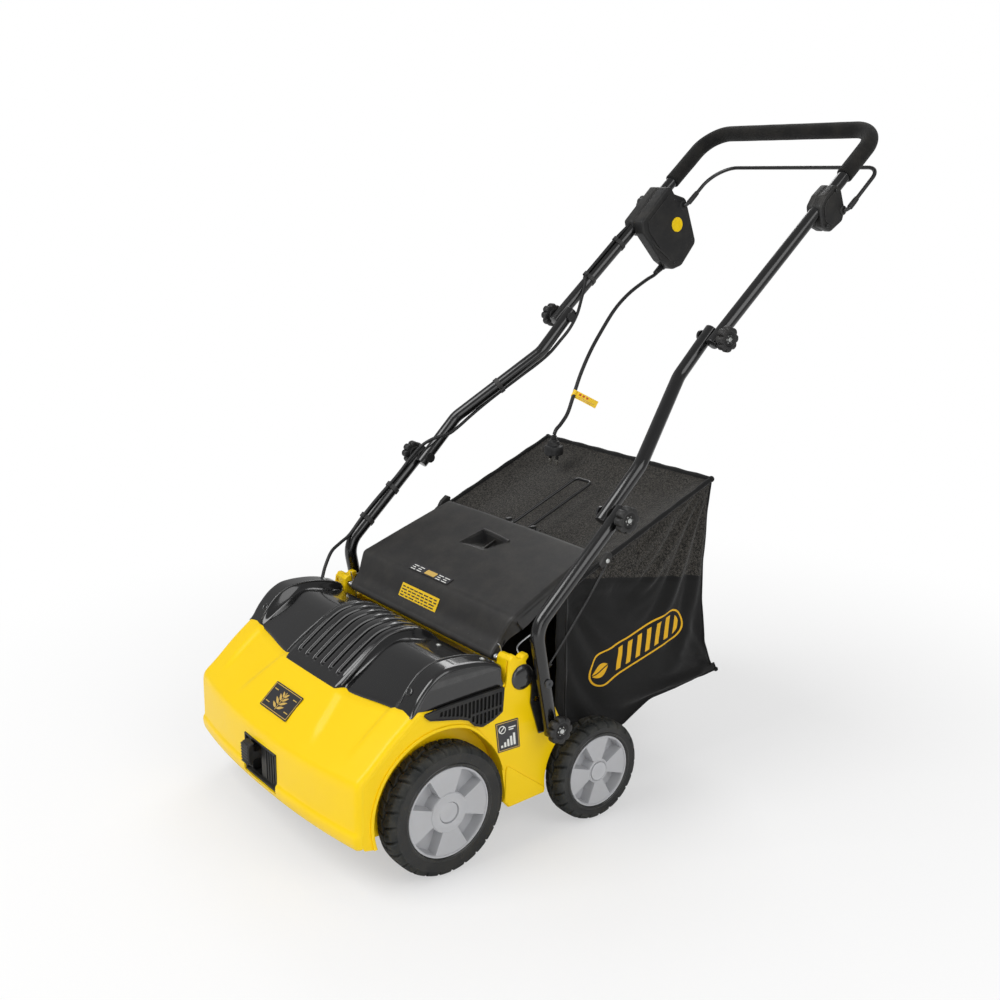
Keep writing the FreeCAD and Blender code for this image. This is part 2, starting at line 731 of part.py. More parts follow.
place(bar("axle_radius", (-268, 268), "rear_axle_y", "rear_axle_z"), "rear_axle")
place(front_axle(), "front_axle")
place(depth_lever(), "depth_lever")

# Wheel set, hub radius over rim radius, axle Y and Z
WHEELS = [("front", 0.43, 0, dim["front_wheel_radius"]),
          ("rear", 0.31, dim["rear_axle_y"], dim["rear_axle_z"])]
for side, word in ((1, "right"), (-1, "left")):
    for prefix, hub_ratio, y, z in WHEELS:
        x = dim[prefix + "_wheel_x"]
        place(outboard(tyre(prefix), side, x, y, z), "%s_tyre_%s" % (prefix, word))
        place(outboard(rim(prefix, hub_ratio), side, x, y, z), "%s_rim_%s" % (prefix, word))

# ---------------------------------------------------------------- rear flap on its hinge rod

# Side outline (Y, Z), plan outline (X, Y) and the raised lip on top (Y, Z)
FLAP_SIDE = [(125, 292), (136, 306), (156, 345), (327, 413), (329, 408), (161, 340.5), (141, 303),
             (137, 292)]
FLAP_PLAN = [(-206.5, 120), (206.5, 120), (206.5, 141), (216, 157), (197, 332), (-197, 332),
             (-216, 157), (-206.5, 141)]
FLAP_LIP = [(248, 375), (268, 383), (284, 397), (262, 400)]


def rear_flap():
    plate = common(side_prism(FLAP_SIDE, (-220, 220)), plan_prism(FLAP_PLAN, (280, 430)))
    barrel = cylinder("flap_barrel_radius", "flap_barrel_length", -dim["flap_barrel_length"] / 2,
                      "hinge_y", "hinge_z")
    flap = fuse(plate, barrel, side_prism(FLAP_LIP, (-42, 42)))
    return cut(flap, bar("hinge_bore_radius", (-210, 210), "hinge_y", "hinge_z"))


def flap_springs():
    """Coils round the hinge rod, one beyond each end of the barrel."""
    pitch, length, coil_radius, wire_radius, inner_x = 2.2, 8.8, 4.6, 0.9, 208
    coils = []
    for s in SIDES:
        helix = Part.makeHelix(pitch, length, coil_radius)
        section = Part.Circle(Vector(coil_radius, 0, 0), Vector(0, 1, 0), wire_radius)
        coil = Part.Wire(helix).makePipeShell([Part.Wire(section.toShape())], True, True)
        x = span(s, inner_x, inner_x + length)[0]
        coil.Placement = Placement(Vector(x, dim["hinge_y"], dim["hinge_z"]), TO_X)
        coils.append(coil)
    return feature(Part.makeCompound(coils))


place(bar("hinge_rod_radius", (-236, 236), "hinge_y", "hinge_z"), "flap_hinge_rod")
place(rear_flap(), "rear_flap")
place(flap_springs(), "flap_springs")

# ---------------------------------------------------------------- handle: three tube sections

LOWER_X, MIDDLE_X = dim["lower_tube_x"], dim["middle_tube_x"]
MIDDLE_TOP_X, UPPER_X = dim["middle_top_x"], dim["upper_tube_x"]
GRIP_Y, GRIP_Z = dim["grip_corner_y"], dim["grip_corner_z"]
UPPER_END_Y, UPPER_END_Z = 575.8, 719.1
LEG_SLOPE = (GRIP_Z - UPPER_END_Z) / (GRIP_Y - UPPER_END_Y)
ALONG_LEG = Rotation(Vector(0, 0, 1), Vector(0, 1, LEG_SLOPE))

# Centre lines on the +X side (X, Y, Z)
LOWER_PATH = [(LOWER_X, 190.7, 168.2), (LOWER_X, 159, 344), (LOWER_X, 325.7, 498.9)]
MIDDLE_PATH = [(MIDDLE_X, 302.6, 476.8), (MIDDLE_X, 381, 553.5), (MIDDLE_TOP_X, 526.5, 669),
               (MIDDLE_TOP_X, 599.4, 740.7)]
# Bracket outline (Y, Z)
BRACKET_SIDE = [(176, 168), (202, 168), (206, 196), (192, 232), (186, 270), (164, 272),
                (160, 222)]


def leg_point(x, y):
    """Point at a given Y on the centre line of an upper tube leg."""
    return (x, y, GRIP_Z - (GRIP_Y - y) * LEG_SLOPE)


def tube_pair(path, holes):
    """Tube on each side, drilled across at every (tube X, joint) in holes."""
    tubes = []
    for s in SIDES:
        drills = [bar("bolt_hole_radius", span(s, x - 20, x + 20), joint + "_y", joint + "_z")
                  for x, joint in holes]
        points = [(s * x, y, z) for x, y, z in path]
        tubes.append(cut(hollow_tube(points, dim["tube_bend_radius"]), *drills))
    return group(*tubes)


def upper_tube():
    points = [(UPPER_X, UPPER_END_Y, UPPER_END_Z), (UPPER_X, GRIP_Y, GRIP_Z),
              (-UPPER_X, GRIP_Y, GRIP_Z), (-UPPER_X, UPPER_END_Y, UPPER_END_Z)]
    return cut(hollow_tube(points, dim["grip_bend_radius"]),
               bar("bolt_hole_radius", (-230, 230), "upper_joint_y", "upper_joint_z"))


def foam_grip():
    """Sleeve round the cross bar; its bore starts a little lower down each leg."""
    def sleeve(radius, overrun):
        points = [leg_point(UPPER_X, 886 - overrun), (UPPER_X, GRIP_Y, GRIP_Z),
                  (-UPPER_X, GRIP_Y, GRIP_Z), leg_point(-UPPER_X, 872 - overrun)]
        return sweep(points, dim["grip_bend_radius"], radius)
    return cut(sleeve("foam_radius", 0), sleeve("foam_bore_radius", 6))


def handle_brackets():
    """Flat brackets between the hood's sides and the lower tubes."""
    holes = [("deck_knob_y", "deck_knob_z", "bolt_hole_radius"),
             ("rivet_y", "rivet_z", "bolt_hole_radius"), (*BRACKET_HOLE, "bolt_hole_radius")]
    return group(*[side_prism(BRACKET_SIDE, span(s, 254.3, 256.9), holes) for s in SIDES])


def bolt_pair(head_x, end_x, joint):
    """Bolts along X with a round head at the inner end."""
    y, z = joint + "_y", joint + "_z"
    return group(*[fuse(bar("bolt_radius", span(s, head_x, end_x), y, z),
                        bar("bolt_head_radius", span(s, head_x, head_x + 4), y, z))
                   for s in SIDES])


def tube_rivets():
    """Rivets with an outer head and a shallow recess in its face."""
    rivets = []
    for s in SIDES:
        body = fuse(bar("bolt_radius", span(s, 254.35, 282.0), "rivet_y", "rivet_z"),
                    bar(7.0, span(s, 279.6, 282.0), "rivet_y", "rivet_z"))
        recess = bar(2.0, span(s, 281.2, 282.2), "rivet_y", "rivet_z")
        rivets.append(cut(body, recess))
    return group(*rivets)


def star_knob():
    """Lobed clamping knob with a round boss, about its own X axis."""
    body = new("PartDesign::Body", "Knob")
    bore = (0, 0, "bolt_hole_radius")
    rim_circles = [(0, 0, "knob_radius"), bore]
    pad(body, sketch(body, "YZ_Plane", circles=rim_circles, offset=4.0), "knob_thickness")
    pad(body, sketch(body, "YZ_Plane", circles=[(0, 0, 12.0), bore]), 5.0)
    notch = [(dim["knob_radius"] + 1.6, 0, 5.2)]
    notch_pocket = pocket(body, sketch(body, "YZ_Plane", circles=notch, offset=30.0), 30.0)
    polar(body, notch_pocket, "knob_lobes")
    return body


place(tube_pair(LOWER_PATH, [(LOWER_X, "deck_knob"), (LOWER_X, "rivet"),
                             (LOWER_X, "lower_joint")]), "lower_tubes")
place(tube_pair(MIDDLE_PATH, [(MIDDLE_X, "lower_joint"), (MIDDLE_TOP_X, "upper_joint")]),
      "middle_tubes")
place(upper_tube(), "upper_tube")
place(foam_grip(), "foam_grip")
place(handle_brackets(), "handle_brackets")
place(bolt_pair(245.8, 292, "deck_knob"), "deck_bolts")
place(tube_rivets(), "tube_rivets")
place(bolt_pair(230.8, 292, "lower_joint"), "lower_joint_bolts")
place(bolt_pair(162.8, 224, "upper_joint"), "upper_joint_bolts")

# Knob, tube it clamps, joint it sits at
KNOBS = [("deck_knob", LOWER_X, "deck_knob"), ("lower_knob", LOWER_X, "lower_joint"),
         ("upper_knob", UPPER_X, "upper_joint")]
KNOB_OFFSET = 11.6                      # from the tube's centre line to the knob's inner face
for side, word in ((1, "right"), (-1, "left")):
    for label, tube_x, joint in KNOBS:
        knob = outboard(star_knob(), side, tube_x + KNOB_OFFSET,
                        dim[joint + "_y"], dim[joint + "_z"])
        place(knob, label + "_" + word)

# ---------------------------------------------------------------- switch box, button, bail, clamp

# Side outlines (Y, Z)
SWITCH_SIDE = [(760, 899), (766, 876), (816, 822), (846, 804.5), (872, 812), (909, 856),
               (877, 941), (846, 949), (836, 962), (826, 962)]
CLAMP_SIDE = [(817, 900), (841, 891), (871, 909), (876, 928), (862, 962), (845, 970), (821, 952),
              (809, 934)]
BUTTON = (820, 927.5)                   # Y, Z


def leg_cylinder(radius, height, x, y):
    """Cylinder along an upper tube leg, starting at a given Y."""
    return cylinder(radius, height, *leg_point(x, y), ALONG_LEG)


def switch_box():
    """Box on the -X leg with a round collar for the button."""
    return cut(fuse(side_prism(SWITCH_SIDE, (-216, -164)), bar(19.0, (-227, -215), *BUTTON)),
               leg_cylinder("foam_bore_radius", 300, -UPPER_X, 700),
               leg_cylinder(dim["foam_radius"] + 0.5, 60, -UPPER_X, 864),
               bar(9.1, (-228, -214.5), *BUTTON),
               bar("bail_bore_radius", (-177.5, -163.5), "bail_y", "bail_z"))


def lock_button():
    return fuse(bar("button_radius", (-234, -220.5), *BUTTON), bar(6.0, (-237, -234), *BUTTON))


def bail_lever():
    """Rod from the switch box over to the clamp, with both ends turned in along X."""
    y, z = dim["bail_y"], dim["bail_z"]
    left_x, right_x, top_y, top_z = -155.0, 226.0, 950, 998
    points = [(-176.0, y, z), (left_x, y, z), (left_x, top_y, top_z), (right_x, top_y, top_z),
              (right_x, y, z), (208.0, y, z)]
    return sweep(points, 9.0, "bail_rod_radius")


def bail_clamp():
    return cut(side_prism(CLAMP_SIDE, (184, 216)),
               leg_cylinder("foam_bore_radius", 200, UPPER_X, 760),
               bar("bail_bore_radius", (206, 220), "bail_y", "bail_z"))


place(switch_box(), "switch_box")
place(lock_button(), "lock_button")
place(bail_lever(), "bail_lever")
place(bail_clamp(), "bail_clamp")

# ---------------------------------------------------------------- mains cord, plug, motor cable

# Centre lines (X, Y, Z)
CORD_PATH = [(-188, 838, 806), (-186, 818, 796), (-180, 787, 783), (-150, 646, 685),
             (-125, 570, 601), (-109, 520, 556), (-107, 502, 530)]
CABLE_PATH = [(-247, 104, 302), (-247, 112, 326), (-247, 150, 352), (-247, 280, 472)]


def mains_plug():
    """Upright round plug with a cord hole in its top and two pins below."""
    x, y, top = -107.0, 501.0, 527.0
    bottom = top - dim["plug_length"]
    pins = [cylinder("pin_radius", "pin_length", x + s * dim["pin_spacing"] / 2, y,
                     bottom - dim["pin_length"], UPRIGHT) for s in SIDES]
    plug = fuse(cylinder("plug_radius", "plug_length", x, y, bottom, UPRIGHT), *pins)
    return cut(plug, cylinder(4.2, 12, x, y + 0.5, top - 10, UPRIGHT))


place(sweep(CORD_PATH, 14.0, "cord_radius"), "mains_cord")
place(mains_plug(), "mains_plug")
place(sweep(CABLE_PATH, 10.0, 3.0), "motor_cable")

# ---------------------------------------------------------------- collection bag and its frame

# Side outline (Y, Z)
BAG_SIDE = [(262, 125), (385, 108), (450, 138), (608, 150), (577, 215), (561, 360), (575, 497),
            (330, 397), (262, 366)]


def collection_bag():
    """Thin-walled bag, open at the front."""
    half, wall = dim["bag_half_width"], dim["bag_wall"]
    inner = inset(BAG_SIDE, wall)
    inner[0] = (240, inner[0][1] + 2)
    inner[-1] = (240, inner[-1][1] - 10)
    return cut(side_prism(BAG_SIDE, (-half, half)), side_prism(inner, (wall - half, half - wall)))


def bag_frame():
    """Wire round the mouth, and a hoop under the bag's top."""
    mouth_x = dim["bag_half_width"] - 8
    hoop_x = mouth_x - 6
    y, low, high = 268, 133, 358
    mouth = [(0, y, low), (mouth_x, y, low), (mouth_x, y, high), (-mouth_x, y, high),
             (-mouth_x, y, low), (-0.02, y, low)]
    half_hoop = [(hoop_x, 272, 346), (hoop_x, 330, 384), (hoop_x, 560, 479)]
    hoop = half_hoop + [(-x, y, z) for x, y, z in reversed(half_hoop)]
    return group(sweep(mouth, 12.0, "bag_wire_radius"), sweep(hoop, 14.0, "bag_wire_radius"))


def bag_handle():
    """Wire loop with both ends turned out into the pivots."""
    y, z = dim["bag_handle_y"], dim["bag_handle_z"]
    end_x, x, far_y, far_z = 39, 21, 482, 466.5
    points = [(-end_x, y, z), (-x, y, z), (-x, far_y, far_z), (x, far_y, far_z), (x, y, z),
              (end_x, y, z)]
    return sweep(points, 8.0, 2.6)


def handle_pivots():
    """Two bored lugs, each on a sloping foot."""
    y, z = dim["bag_handle_y"], dim["bag_handle_z"]
    lugs = [cut(box(span(s, 30, 36), (y - 5, y + 5), (z - 4.4, z + 6)),
                bar(2.66, span(s, 18, 48), y, z)) for s in SIDES]
    foot_side = [(330, 397.8), (352, 406.8), (352, 409.6), (330, 400.6)]
    strip = common(side_prism(foot_side, (-42, 42)), box((-42, 42), (328, 354), (395, 412)))
    feet = cut(strip, box((-29.5, 29.5), (320, 360), (390, 420)))
    return cut(fuse(feet, *lugs), box((-60, 60), (300, 380), (380, 397)))


place(collection_bag(), "collection_bag")
place(bag_frame(), "bag_frame")
place(bag_handle(), "bag_handle")
place(handle_pivots(), "handle_pivots")

# ---------------------------------------------------------------- state check and STEP export

doc.recompute()
faults = []
for obj in doc.Objects:
    if any(word in obj.State for word in ("Invalid", "Error")):
        faults.append("%s (%s) %s" % (obj.Name, obj.Label, obj.State))
for obj in nodes:
    if obj.Shape.isNull() or not obj.Shape.isValid() or not obj.Shape.Solids:
        faults.append("shape of " + obj.Label)
if len({obj.Label for obj in nodes}) != len(nodes):
    faults.append("repeated labels")
if faults:
    raise RuntimeError("; ".join(faults))

os.makedirs("parts", exist_ok=True)
for obj in nodes:
    obj.Shape.exportStep(os.path.join("parts", obj.Label + ".step"))
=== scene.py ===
"""Electric lawn dethatcher with a folding tube handle and a cloth collection bag.

Shapes are drawn in millimetres, Z up, with Y = 0 at the front wheel axle. The nose points to -Y,
the handle and the bag lie towards +Y, and X runs across. "Right" in a name means +X, which is the
right-hand side as seen from the front. to_metres() carries the drawing to the frame.
"""
import bpy
import bmesh
from math import acos, atan2, cos, hypot, pi, radians, sin, tan
import numpy as np
from mathutils import Matrix, Vector, noise


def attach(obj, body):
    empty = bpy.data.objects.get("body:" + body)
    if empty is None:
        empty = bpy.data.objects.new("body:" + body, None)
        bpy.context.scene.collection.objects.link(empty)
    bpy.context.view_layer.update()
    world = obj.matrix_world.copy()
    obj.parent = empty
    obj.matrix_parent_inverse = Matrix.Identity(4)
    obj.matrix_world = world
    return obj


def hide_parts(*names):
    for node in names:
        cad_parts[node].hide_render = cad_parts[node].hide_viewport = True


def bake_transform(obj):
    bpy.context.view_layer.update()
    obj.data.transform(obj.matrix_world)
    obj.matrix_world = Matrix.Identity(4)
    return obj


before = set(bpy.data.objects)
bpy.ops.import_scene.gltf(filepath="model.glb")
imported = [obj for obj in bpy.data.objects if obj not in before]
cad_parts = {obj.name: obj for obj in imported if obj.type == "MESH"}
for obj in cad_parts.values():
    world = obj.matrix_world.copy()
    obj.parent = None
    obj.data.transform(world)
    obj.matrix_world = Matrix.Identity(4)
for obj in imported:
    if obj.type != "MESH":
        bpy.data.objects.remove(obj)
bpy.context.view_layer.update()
scene = bpy.context.scene

SHIFT = np.array([0.0, -407.5, 0.0])    # from the drawing to the frame, mm
SIDES = ((1, "right"), (-1, "left"))

# Points (y, z) and sizes that several pieces share
FRONT_RADIUS = 100.0
REAR_AXLE_Y = 280.4
REAR_RADIUS = 81.7
DECK_KNOB = (188.0, 183.0)
LOWER_JOINT = (314, 488)
HINGE = (131, 288)
BAIL_PIVOT = (868, 927)
LOCK_BUTTON = (820, 927.5)


# ------------------------------------------------------------------ materials

def srgb(code):
    """Linear RGBA from '#rrggbb'."""
    linear = []
    for i in (1, 3, 5):
        value = int(code[i:i + 2], 16) / 255.0
        linear.append(value / 12.92 if value <= 0.04045 else ((value + 0.055) / 1.055) ** 2.4)
    return tuple(linear) + (1.0,)


def grey(value):
    return (value, value, value, 1.0)


def scaled(color, factor, lift=0.0):
    return tuple(min(1, c * factor + lift) for c in color[:3]) + (1,)


class Tree:
    """A new Principled material with short calls for the nodes used here."""

    def __init__(self, name):
        self.material = bpy.data.materials.new(name)
        self.material.use_nodes = True
        self.nodes = self.material.node_tree.nodes
        self.links = self.material.node_tree.links

    def new(self, kind):
        return self.nodes.new("ShaderNode" + kind)

    def feed(self, socket, value):
        """Sets a plain value on an input, or links an output to it."""
        if isinstance(value, (int, float, tuple)):
            socket.default_value = value
        else:
            self.links.new(value, socket)

    def principled(self, values):
        for name, value in values.items():
            self.feed(self.nodes["Principled BSDF"].inputs[name], value)

    def math(self, operation, *values, clamp=False):
        """Inputs that are not given keep the node's default."""
        node = self.new("Math")
        node.operation = operation
        node.use_clamp = clamp
        for socket, value in zip(node.inputs, values):
            self.feed(socket, value)
        return node.outputs[0]

    def add(self, first, second, clamp=False):
        return self.math("ADD", first, second, clamp=clamp)

    def sub(self, first, second):
        return self.math("SUBTRACT", first, second)

    def mul(self, first, second, clamp=False):
        return self.math("MULTIPLY", first, second, clamp=clamp)

    def less(self, first, second):
        return self.math("LESS_THAN", first, second)

    def more(self, first, second):
        return self.math("GREATER_THAN", first, second)

    def size(self, value):
        return self.math("ABSOLUTE", value)

    def length(self, first, second):
        return self.math("SQRT", self.add(first, second))

    def texture(self, kind, scale, coords, **inputs):
        node = self.new("Tex" + kind)
        for name, value in inputs.items():
            node.inputs[name].default_value = value
        node.inputs["Scale"].default_value = scale
        self.feed(node.inputs["Vector"], coords)
        return node.outputs[0]

    def noise(self, scale, coords, **inputs):
        return self.texture("Noise", scale, coords, **inputs)

    def ramp(self, factor, low, high):
        """Grey ramp between two stops, each (position, value)."""
        node = self.new("ValToRGB")
        for stop, (position, value) in zip(node.color_ramp.elements, (low, high)):
            stop.position = position
            stop.color = grey(value)
        self.feed(node.inputs[0], factor)
        return node.outputs[0]

    def mix(self, factor, first, second):
        node = self.new("Mix")
        node.data_type = "RGBA"
        for index, value in ((0, factor), (6, first), (7, second)):
            self.feed(node.inputs[index], value)
        return node.outputs[2]

    def pick(self, factor, first, second):
        """Float mix."""
        node = self.new("Mix")
        node.data_type = "FLOAT"
        for index, value in ((0, factor), (2, first), (3, second)):
            self.feed(node.inputs[index], value)
        return node.outputs[0]

    def split(self, vector):
        node = self.new("SeparateXYZ")
        self.feed(node.inputs[0], vector)
        return node.outputs

    def bump(self, height, strength, distance, normal=None):
        node = self.new("Bump")
        node.inputs["Strength"].default_value = strength
        node.inputs["Distance"].default_value = distance
        self.feed(node.inputs["Height"], height)
        if normal:
            self.feed(node.inputs["Normal"], normal)
        return node.outputs[0]


DUST = (0.30, 0.27, 0.21, 1)


def surface(name, color, rough=0.45, metal=0.0, coat=0.0, coat_rough=0.12, drift=0.06,
            drift_scale=14.0, grain="noise", grain_scale=900.0, grain_depth=0.00012,
            grain_strength=0.35, rough_spread=0.12, wear=0.25, wear_color=None, dust=0.0,
            sheen=0.0, specular=0.5, wave=0.0):
    """Slow colour drift, fine grain in bump and roughness, pale worn edges, dust on top faces.

    grain is noise, cells or brushed; wave is the depth in metres of a broad unevenness.
    """
    tree = Tree(name)
    coords = tree.new("TexCoord").outputs["Object"]
    if wear or dust:
        geometry = tree.new("NewGeometry").outputs
    base = srgb(color)
    slow = tree.noise(drift_scale, coords, Detail=5.0, Roughness=0.55)
    tint = tree.mix(slow, scaled(base, 1 - drift), scaled(base, 1 + drift))
    fine = tree.noise(grain_scale * 0.35, coords, Detail=3.0)
    if wear:
        edge = tree.ramp(geometry["Pointiness"], (0.515, 0), (0.56, 1))
        worn = tree.mul(edge, tree.noise(55.0, coords, Detail=6.0))
        worn = tree.mul(worn, wear * 1.6, clamp=True)
        tint = tree.mix(worn, tint, wear_color or scaled(base, 1.5, lift=0.05))
    if dust:
        normal = tree.split(geometry["Normal"])
        specks = tree.ramp(tree.noise(30.0, coords, Detail=8.0, Roughness=0.65),
                           (0.42, 0), (0.68, 1))
        settled = tree.mul(specks, tree.math("MULTIPLY_ADD", normal[2], 0.35), clamp=True)
        settled = tree.mul(tree.add(settled, tree.mul(specks, 0.35)), dust, clamp=True)
        tint = tree.mix(settled, tint, DUST)

    gloss = tree.math("MULTIPLY_ADD", fine, rough_spread, rough - rough_spread / 2)
    smear = tree.noise(7.0, coords, Detail=7.0, Roughness=0.7)
    gloss = tree.add(gloss, tree.mul(tree.sub(smear, 0.5), rough_spread * 1.2), clamp=True)

    if grain == "noise":
        height = tree.noise(grain_scale, coords, Detail=2.0)
    elif grain == "cells":
        height = tree.texture("Voronoi", grain_scale, coords)
    else:
        stretch = tree.new("Mapping")
        stretch.inputs["Scale"].default_value = (0.04, 1, 1)
        tree.feed(stretch.inputs[0], coords)
        height = tree.noise(grain_scale, stretch.outputs[0], Detail=3.0)
    bump = tree.bump(height, grain_strength, grain_depth)
    if wave:
        bump = tree.bump(tree.noise(18.0, coords, Detail=1.0), 1.0, wave, bump)

    tree.principled({"Base Color": tint, "Roughness": gloss, "Metallic": metal,
                     "Specular IOR Level": specular, "Coat Weight": coat,
                     "Coat Roughness": coat_rough, "Normal": bump})
    if sheen:
        tree.principled({"Sheen Weight": sheen, "Sheen Roughness": 0.5})
    return tree.material


def net_cloth(tree, place, coords, warp, weft, cloth):
    """Open net above a straight seam that falls to the rear; returns colour and openness."""
    fall = tree.mul(tree.add(place[1], 0.0665), 0.179)
    over_seam = tree.sub(place[2], tree.sub(0.371, fall))
    above = tree.more(over_seam, 0.0)
    hem = tree.less(tree.size(tree.add(over_seam, 0.0045)), 0.0045)
    lace = tree.less(tree.size(tree.add(warp, weft)), 0.55)
    mottle = tree.noise(300.0, coords, Detail=4.0, Roughness=0.75)
    gaps = tree.mul(tree.mul(lace, above), tree.ramp(mottle, (0.38, 0.25), (0.62, 1)))
    net = tree.mix(tree.ramp(mottle, (0.40, 0), (0.60, 1)), srgb("#100f0e"), srgb("#4b4843"))
    tint = tree.mix(above, cloth, net)
    return tree.mix(tree.mul(hem, 0.7), tint, srgb("#060606")), gaps


def side_print(tree, place, facing, tint):
    """Yellow outline pill with slanted bars and a leaf on the bag's sides, in frame metres."""
    centre_y, centre_z = 0.009, 0.2365
    tilt = radians(14.5)
    half_straight = 0.080
    outline_radius, outline_half_width = 0.0265, 0.0016
    bar_pitch, bar_lean, bar_radius = 0.022, -0.35, 0.0185
    leaf_radius, leaf_offset, vein_half = 0.026, 0.016, 0.0011

    dy = tree.sub(place[1], centre_y)
    dz = tree.sub(place[2], centre_z)
    along = tree.add(tree.mul(dy, cos(tilt)), tree.mul(dz, sin(tilt)))
    across = tree.sub(tree.mul(dz, cos(tilt)), tree.mul(dy, sin(tilt)))
    past_end = tree.math("MAXIMUM", tree.sub(tree.size(along), half_straight), 0.0)
    distance = tree.length(tree.mul(past_end, past_end), tree.mul(across, across))
    outline = tree.less(tree.size(tree.sub(distance, outline_radius)), outline_half_width)
    slant = tree.add(along, tree.mul(across, bar_lean))
    bars = tree.more(tree.math("SINE", tree.mul(slant, 2 * pi / bar_pitch)), 0.15)
    inside = tree.less(distance, bar_radius)
    clear_of_leaf = tree.more(slant, -0.05)
    bars = tree.mul(tree.mul(bars, inside), clear_of_leaf)

    # the leaf is where two discs overlap at the low end, split by a vein
    leaf_along = tree.add(along, 0.083)
    reach = [tree.length(tree.math("POWER", shift(leaf_along, 0.0), 2.0),
                         tree.math("POWER", lift(across, leaf_offset), 2.0))
             for shift, lift in ((tree.add, tree.sub), (tree.sub, tree.add))]
    leaf = tree.mul(tree.less(reach[0], leaf_radius), tree.less(reach[1], leaf_radius))
    leaf = tree.mul(leaf, tree.more(tree.size(across), vein_half))

    art = tree.math("MAXIMUM", tree.math("MAXIMUM", outline, bars), leaf)
    on_side = tree.more(tree.size(place[0]), 0.17)
    outer = tree.more(tree.mul(place[0], facing[0]), 0.1)
    art = tree.mul(tree.mul(art, on_side), outer)
    return tree.mix(art, tint, srgb("#E8B21E"))


def fabric(name, color, thread, sheen, is_bag=False):
    """Woven cloth in object coordinates; the bag adds see-through net and its side print."""
    tree = Tree(name)
    coords = tree.new("TexCoord").outputs["Object"]
    geometry = tree.new("NewGeometry").outputs
    base = srgb(color)
    place = tree.split(coords)
    wave_x, wave_y, wave_z = (tree.math("SINE", tree.mul(place[i], pi * 2 / thread))
                              for i in range(3))
    # the threads follow the two axes that lie in each face
    facing = tree.split(geometry["True Normal"])
    is_side = tree.more(tree.size(facing[0]), 0.6)
    is_flat = tree.more(tree.size(facing[2]), 0.6)
    warp = tree.pick(is_side, wave_x, wave_y)
    weft = tree.pick(is_side, tree.pick(is_flat, wave_z, wave_y), wave_z)
    weave = tree.add(tree.mul(tree.mul(warp, weft), 0.5), 0.5)

    slow = tree.noise(9.0, coords, Detail=6.0, Roughness=0.6)
    tint = tree.mix(slow, scaled(base, 0.72), scaled(base, 1.35))
    tint = tree.mix(tree.mul(weave, 0.5), tint, scaled(base, 2.0, lift=0.004))
    if is_bag:
        tint, gaps = net_cloth(tree, place, coords, warp, weft, tint)
        tint = side_print(tree, place, facing, tint)
    height = tree.add(weave, tree.mul(tree.noise(90.0, coords, Detail=4.0), 1.4))
    tree.principled({"Base Color": tint, "Roughness": 0.82, "Sheen Weight": sheen,
                     "Sheen Roughness": 0.45, "Specular IOR Level": 0.3,
                     "Normal": tree.bump(height, strength=0.5, distance=0.0005)})
    if is_bag:
        tree.principled({"Alpha": tree.sub(1.0, tree.mul(gaps, 0.55))})
    return tree.material


# settings shared by the flat printed colours
PRINT = dict(grain_scale=400, grain_depth=0.00003, grain_strength=0.1, wear=0.0)

